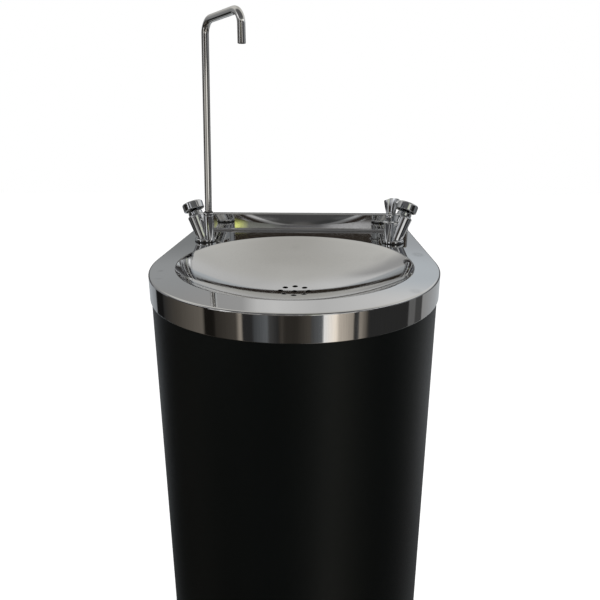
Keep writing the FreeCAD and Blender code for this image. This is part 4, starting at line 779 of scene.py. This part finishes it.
for _nm, _side in (("filler", -1), ("bubbler", 1)):
    _ob, _ax, _seat = return_spring(_nm + "_return_spring", _side)
    stand_for(_ob, _nm + "_spring")
    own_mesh(_ob)


# ---------------------------------------------------------------------------
# stage: pale floor, soft surround, camera
# ---------------------------------------------------------------------------
def make_world():
    w = bpy.data.worlds.new("soft_studio")
    bpy.context.scene.world = w
    w.use_nodes = True
    nt = w.node_tree
    for n in list(nt.nodes):
        nt.nodes.remove(n)
    g = G(nt)
    out = g.node("ShaderNodeOutputWorld")
    tc = g.node("ShaderNodeTexCoord")
    x, y, z = g.xyz(tc.outputs["Generated"])[:3]
    az = g.m("ARCTAN2", x, g.m("MULTIPLY", y, -1.0))           # 0 toward the viewer's side, + to the right
    t = g.m("ADD", g.m("DIVIDE", az, 2 * math.pi), 0.5)

    def at(deg):
        return deg / 360.0 + 0.5

    def strips(items, k=1.0, edge=0.8):
        """items: (from, to, colour at from, colour at to); neighbouring strips meet over `edge` degrees."""
        st = []
        for a, b_, ca, cb in items:
            st.append((at(a + edge / 2), tuple(v * k for v in ca)))
            st.append((at(b_ - edge / 2), tuple(v * k for v in cb)))
        return st
    # a small palette of plain tones for the panels of the room
    level = {"ink": 0.010, "dark": 0.030, "dim": 0.070, "mid_": 0.15, "soft": 0.32, "pale": 0.60, "bright": 1.05}
    grey = {k: (v, v, v) for k, v in level.items()}
    warm = {k: (v * 1.12, v, v * 0.86) for k, v in level.items()}
    cool = {k: (v * 0.94, v, v * 1.06) for k, v in level.items()}
    low_l = strips([(-180, -128, cool["pale"], cool["soft"]), (-128, -114, grey["ink"], grey["ink"]),
                    (-114, -94, grey["dark"], warm["dim"]), (-94, -66, warm["dim"], warm["mid_"]),
                    (-66, -56, warm["ink"], warm["ink"]), (-56, -36.5, warm["dark"], warm["dim"]),
                    (-36.5, -33.0, warm["soft"], warm["soft"]), (-33.0, -25, grey["dark"], grey["dark"]),
                    (-25, -15, cool["dim"], cool["mid_"]), (-15, -8, grey["dim"], grey["dark"]),
                    (-8, -4.5, warm["dark"], warm["dim"]), (-4.5, 3.5, warm["dark"], warm["dark"]),
                    (3.5, 13.0, warm["dark"], warm["dim"])])
    low_r = strips([(-180, 13.0, warm["dim"], warm["dim"]), (13.0, 21.5, grey["dim"], cool["mid_"]),
                    (21.5, 32.5, grey["bright"], warm["bright"]), (32.5, 45.5, warm["pale"], warm["soft"]),
                    (45.5, 50.0, grey["dark"], grey["dim"]), (50.0, 57.5, warm["soft"], warm["dim"]),
                    (57.5, 98, grey["dark"], grey["dark"]), (98, 106, grey["mid_"], grey["mid_"]),
                    (106, 116, grey["dim"], grey["dim"]), (116, 180, grey["soft"], cool["pale"])])
    lowc = g.mix(g.m("GREATER_THAN", t, at(13.0)), g.ramp(t, low_l), g.ramp(t, low_r))
    lowc = g.mix(g.smooth(z, -0.46, -0.70), lowc, g.mix(1.0, lowc, (0.44, 0.44, 0.44), "MULTIPLY"))
    # room in front, near the horizon: dark, with a few tall light panels
    mid = g.ramp(t, strips([(-180, -134, (.04, .04, .042), (.05, .05, .052)), (-134, -101, (.26, .27, .28), (.20, .20, .21)),
                            (-101, -64, (.06, .058, .055), (.08, .078, .075)), (-64, -50, (.014, .012, .010), (.016, .014, .012)),
                            (-50, -41, (1.30, 1.31, 1.35), (1.15, 1.16, 1.2)), (-41, -27, (.03, .028, .025), (.03, .028, .025)),
                            (-27, -19, (.26, .26, .265), (.20, .20, .20)), (-19, 13, (.036, .028, .022), (.05, .042, .036)),
                            (13, 20, (.10, .10, .105), (.14, .14, .15)), (20, 31, (.90, .89, .87), (.80, .80, .80)),
                            (31, 47, (.12, .115, .11), (.08, .078, .075)), (47, 62, (.02, .02, .02), (.018, .018, .02)),
                            (62, 98, (.10, .105, .12), (.16, .17, .19)), (98, 132, (.34, .35, .36), (.28, .29, .30)),
                            (132, 180, (.05, .05, .052), (.04, .04, .042))], 1.0, 1.6))
    # just under eye level: a dark floor with a doorway to the left
    under = g.ramp(t, strips([(-180, -120, (.12, .12, .125), (.14, .14, .145)), (-120, -76, (.12, .125, .13), (.10, .10, .105)),
                              (-76, -59, (.028, .024, .020), (.022, .020, .018)), (-59, -44, (1.25, 1.26, 1.28), (1.1, 1.1, 1.12)),
                              (-44, -14, (.045, .038, .030), (.035, .028, .022)), (-14, 30, (.030, .026, .024), (.036, .034, .033)),
                              (30, 44, (.10, .10, .105), (.13, .13, .14)), (44, 60, (.42, .42, .43), (.34, .34, .35)),
                              (60, 76, (.045, .047, .055), (.05, .052, .06)), (76, 112, (.22, .23, .24), (.17, .18, .19)),
                              (112, 180, (.15, .15, .155), (.12, .12, .125))], 1.0, 1.6))
    # eye-level band: lighter walls either side of the centre
    eye = g.ramp(t, strips([(-180, -126, (.10, .10, .105), (.12, .12, .125)), (-126, -101, (.30, .31, .32), (.24, .24, .25)),
                            (-101, -58, (.022, .020, .018), (.018, .016, .014)), (-58, -19, (.56, .55, .53), (.46, .45, .43)),
                            (-19, 13, (.24, .232, .22), (.30, .29, .28)), (13, 46, (1.10, 1.09, 1.06), (.90, .89, .86)),
                            (46, 80, (.02, .019, .018), (.024, .023, .022)), (80, 112, (.22, .225, .235), (.24, .245, .25)),
                            (112, 180, (.13, .13, .135), (.10, .10, .105))], 1.0, 2.4))
    # dome: light behind and overhead, a band of daylight in front, darker ceiling above it
    haze = g.noise(tc.outputs["Generated"], 1.6, 2.0, 0.5)
    ax_ = g.m("ABSOLUTE", x)
    hi = g.mix(g.smooth(ax_, 0.02, 0.42), (0.520, 0.512, 0.485), (0.690, 0.684, 0.660))
    hi = g.mix(g.m("MULTIPLY", g.smooth(haze, 0.35, 0.68), 0.35), hi, (0.70, 0.70, 0.69))
    side = g.smooth(x, -0.26, 0.20)

    def across(v):
        return (v + 0.4) / 0.8
    deckrow = g.ramp(g.m("ADD", g.m("DIVIDE", x, 0.8), 0.5), [(across(-0.30), (.35,) * 3), (across(-0.155), (.40,) * 3),
                     (across(-0.125), (.65,) * 3), (across(-0.09), (.70,) * 3), (across(0.0), (.60,) * 3), (across(0.18), (.75,) * 3)])
    lowrow = g.mix(side, (0.360, 0.372, 0.380), (0.560, 0.600, 0.640))
    lowest = g.mix(side, (0.240, 0.250, 0.255), (0.400, 0.420, 0.440))
    rear = g.mix(g.smooth(z, 0.21, 0.27), lowest, lowrow)
    rear = g.mix(g.smooth(z, 0.285, 0.335), rear, deckrow)
    rear = g.mix(g.smooth(z, 0.40, 0.60), rear, hi)
    sky = g.mix(g.smooth(haze, 0.45, 0.55), (0.66, 0.67, 0.70), (0.98, 0.98, 0.98))
    leaf = g.m("MULTIPLY", g.smooth(az, math.radians(9), math.radians(12)), g.smooth(az, math.radians(21), math.radians(18)))
    cols = g.ramp(t, strips([(-60, -36, (.30,) * 3, (.14,) * 3), (-36, -31, (.46,) * 3, (.38,) * 3),
                             (-31, -23, (.09,) * 3, (.12,) * 3), (-23, -19, (.36, .36, .38), (.40, .40, .42)), (-19, -12, (.10, .10, .11), (.15, .15, .16)),
                             (-12, -9, (.34, .35, .36), (.28, .29, .30)), (-9, -3, (.07,) * 3, (.10,) * 3), (-3, 0.5, (.36, .35, .34), (.30, .30, .30)),
                             (0.5, 5, (.08,) * 3, (.11,) * 3), (5, 8, (.42, .42, .44), (.36, .36, .37)), (8, 15, (.10,) * 3, (.16,) * 3),
                             (15, 20, (.40, .41, .44), (.30, .31, .33)), (20, 29, (.11,) * 3, (.14,) * 3), (29, 34, (.40,) * 3, (.46,) * 3),
                             (34, 60, (.14,) * 3, (.36,) * 3)], 1.0, 1.4))
    near_ = g.m("MULTIPLY", g.smooth(az, math.radians(-58), math.radians(-46)), g.smooth(az, math.radians(58), math.radians(46)))
    sky = g.mix(g.m("MULTIPLY", near_, 0.82), sky, cols)
    sky = g.mix(g.m("MULTIPLY", leaf, 0.5), sky, (0.60, 0.66, 0.36))
    sky = g.mix(g.smooth(z, 0.44, 0.48), g.mix(1.0, sky, (1.7, 1.7, 1.7), "MULTIPLY"), g.mix(1.0, sky, (0.42, 0.42, 0.42), "MULTIPLY"))
    ahead = g.mix(g.smooth(z, 0.54, 0.62), sky, (0.115, 0.115, 0.12))
    front = g.smooth(y, 0.12, -0.14)                              # 1 looking toward the viewer's side
    dome = g.mix(front, rear, ahead)
    d0 = g.mixf(front, 0.15, 0.31)
    d1 = g.mixf(front, 0.20, 0.40)
    up = g.m("DIVIDE", g.m("SUBTRACT", z, d0), g.m("SUBTRACT", d1, d0), clamp=True)
    col = g.mix(g.smooth(z, 0.075, 0.115), eye, mid)
    col = g.mix(g.smooth(z, -0.170, -0.145), under, col)
    col = g.mix(g.smooth(z, -0.286, -0.262), lowc, col)
    col = g.mix(up, col, dome)
    # sill: a thin bright band at the foot of the daylight in front
    sill = g.ramp(t, strips([(-180, -60, (.10,) * 3, (.10,) * 3), (-60, -16, (.30, .30, .31), (.30, .30, .31)), (-16, -11.5, (.26, .26, .27), (.24, .24, .25)),
                             (-11.5, -9.0, (1.25, 1.35, .34), (1.30, 1.38, .46)), (-9.0, -4.6, (.30, .31, .28), (.22, .23, .22)), (-4.6, 0.8, (.12, .12, .13), (.16, .16, .17)),
                             (0.8, 3.0, (.50, .50, .52), (.58, .58, .60)), (3.0, 9.5, (.70, .70, .72), (.34, .34, .35)),
                             (9.5, 60, (.16, .16, .17), (.20, .20, .21)), (60, 180, (.10,) * 3, (.10,) * 3)], 1.0, 0.5))
    rise = g.smooth(z, 0.1925, 0.1975)
    sill = g.mix(g.m("MULTIPLY", rise, 0.42), sill, (1.0, 1.0, 1.0))
    inband = g.m("MULTIPLY", g.smooth(z, 0.176, 0.187), g.m("MULTIPLY", g.smooth(z, 0.1995, 0.1982), g.smooth(y, -0.2, -0.5)))
    col = g.mix(inband, col, sill)
    lp = g.node("ShaderNodeLightPath")
    bg = g.node("ShaderNodeBackground")
    g.put(bg.inputs[0], col)
    bg.inputs[1].default_value = 1.0
    cam = g.node("ShaderNodeBackground")
    g.put(cam.inputs[0], (1.0, 1.0, 1.0))
    cam.inputs[1].default_value = 1.0
    ms = g.node("ShaderNodeMixShader")
    g.t.links.new(lp.outputs["Is Camera Ray"], ms.inputs[0])
    g.t.links.new(bg.outputs[0], ms.inputs[1])
    g.t.links.new(cam.outputs[0], ms.inputs[2])
    g.t.links.new(ms.outputs[0], out.inputs[0])


def make_floor():
    me = bpy.data.meshes.new("floor")
    me.from_pydata([(-8, -8, 0), (8, -8, 0), (8, 8, 0), (-8, 8, 0)], [], [(0, 1, 2, 3)])
    ob = bpy.data.objects.new("floor", me)
    bpy.context.scene.collection.objects.link(ob)
    mt, g, b = principled("pale_floor")
    n = g.noise(g.coords(), 6.0, 3.0, 0.5)
    g.put(b.inputs["Base Color"], g.ramp(n, [(0.3, (0.90, 0.90, 0.90)), (0.7, (0.92, 0.92, 0.92))]))
    b.inputs["Roughness"].default_value = 0.9
    b.inputs["Specular IOR Level"].default_value = 0.1
    b.inputs["Emission Color"].default_value = (1, 1, 1, 1)
    b.inputs["Emission Strength"].default_value = 0.70
    me.materials.append(mt)
    ob.visible_glossy = False


def make_light(name, loc, aim, size, power, color=(1, 1, 1), glossy=True):
    li = bpy.data.lights.new(name, "AREA")
    li.shape = "RECTANGLE"
    li.size, li.size_y = size
    li.energy = power
    li.color = color
    ob = bpy.data.objects.new(name, li)
    bpy.context.scene.collection.objects.link(ob)
    ob.location = loc
    ob.rotation_mode = "QUATERNION"
    ob.rotation_quaternion = (Vector(aim) - Vector(loc)).to_track_quat("-Z", "Y")
    ob.visible_camera = False
    ob.visible_glossy = glossy
    return ob


def make_camera():
    pos = Vector((0.02857, -0.54904, 1.1058))
    yaw, pitch, roll = 0.0568, math.radians(15.13), -0.0036
    f, cx, cy = 490.67, 292.54, 261.20
    fw = Vector((-math.sin(yaw) * math.cos(pitch), math.cos(yaw) * math.cos(pitch), -math.sin(pitch)))
    rt = Vector((math.cos(yaw), math.sin(yaw), 0.0))
    up = rt.cross(fw)
    r = rt * math.cos(roll) + up * math.sin(roll)
    u = up * math.cos(roll) - rt * math.sin(roll)
    cd = bpy.data.cameras.new("camera")
    ob = bpy.data.objects.new("camera", cd)
    bpy.context.scene.collection.objects.link(ob)
    m = Matrix(((r.x, u.x, -fw.x, pos.x), (r.y, u.y, -fw.y, pos.y), (r.z, u.z, -fw.z, pos.z), (0, 0, 0, 1)))
    ob.matrix_world = m
    cd.sensor_fit = "HORIZONTAL"
    cd.sensor_width = 36.0
    cd.lens = f / 600.0 * 36.0
    cd.shift_x = (300.0 - cx) / 600.0
    cd.shift_y = -(300.0 - cy) / 600.0
    cd.clip_start, cd.clip_end = 0.01, 60.0
    bpy.context.scene.camera = ob


make_world()
make_floor()
make_camera()
make_light("key_softbox", (0.9, -0.5, 2.3), (0.0, 0.0, 0.9), (0.9, 0.9), 10.0, (1.0, 0.99, 0.97), glossy=False)
make_light("fill_softbox", (-1.3, -0.9, 1.7), (0.0, 0.0, 0.8), (0.9, 1.4), 5.0, (0.97, 0.98, 1.0), glossy=False)
bpy.context.scene.view_settings.view_transform = "Standard"
bpy.context.scene.view_settings.look = "None"
bpy.context.scene.view_settings.exposure = 0.0
bpy.context.scene.view_settings.gamma = 1.0
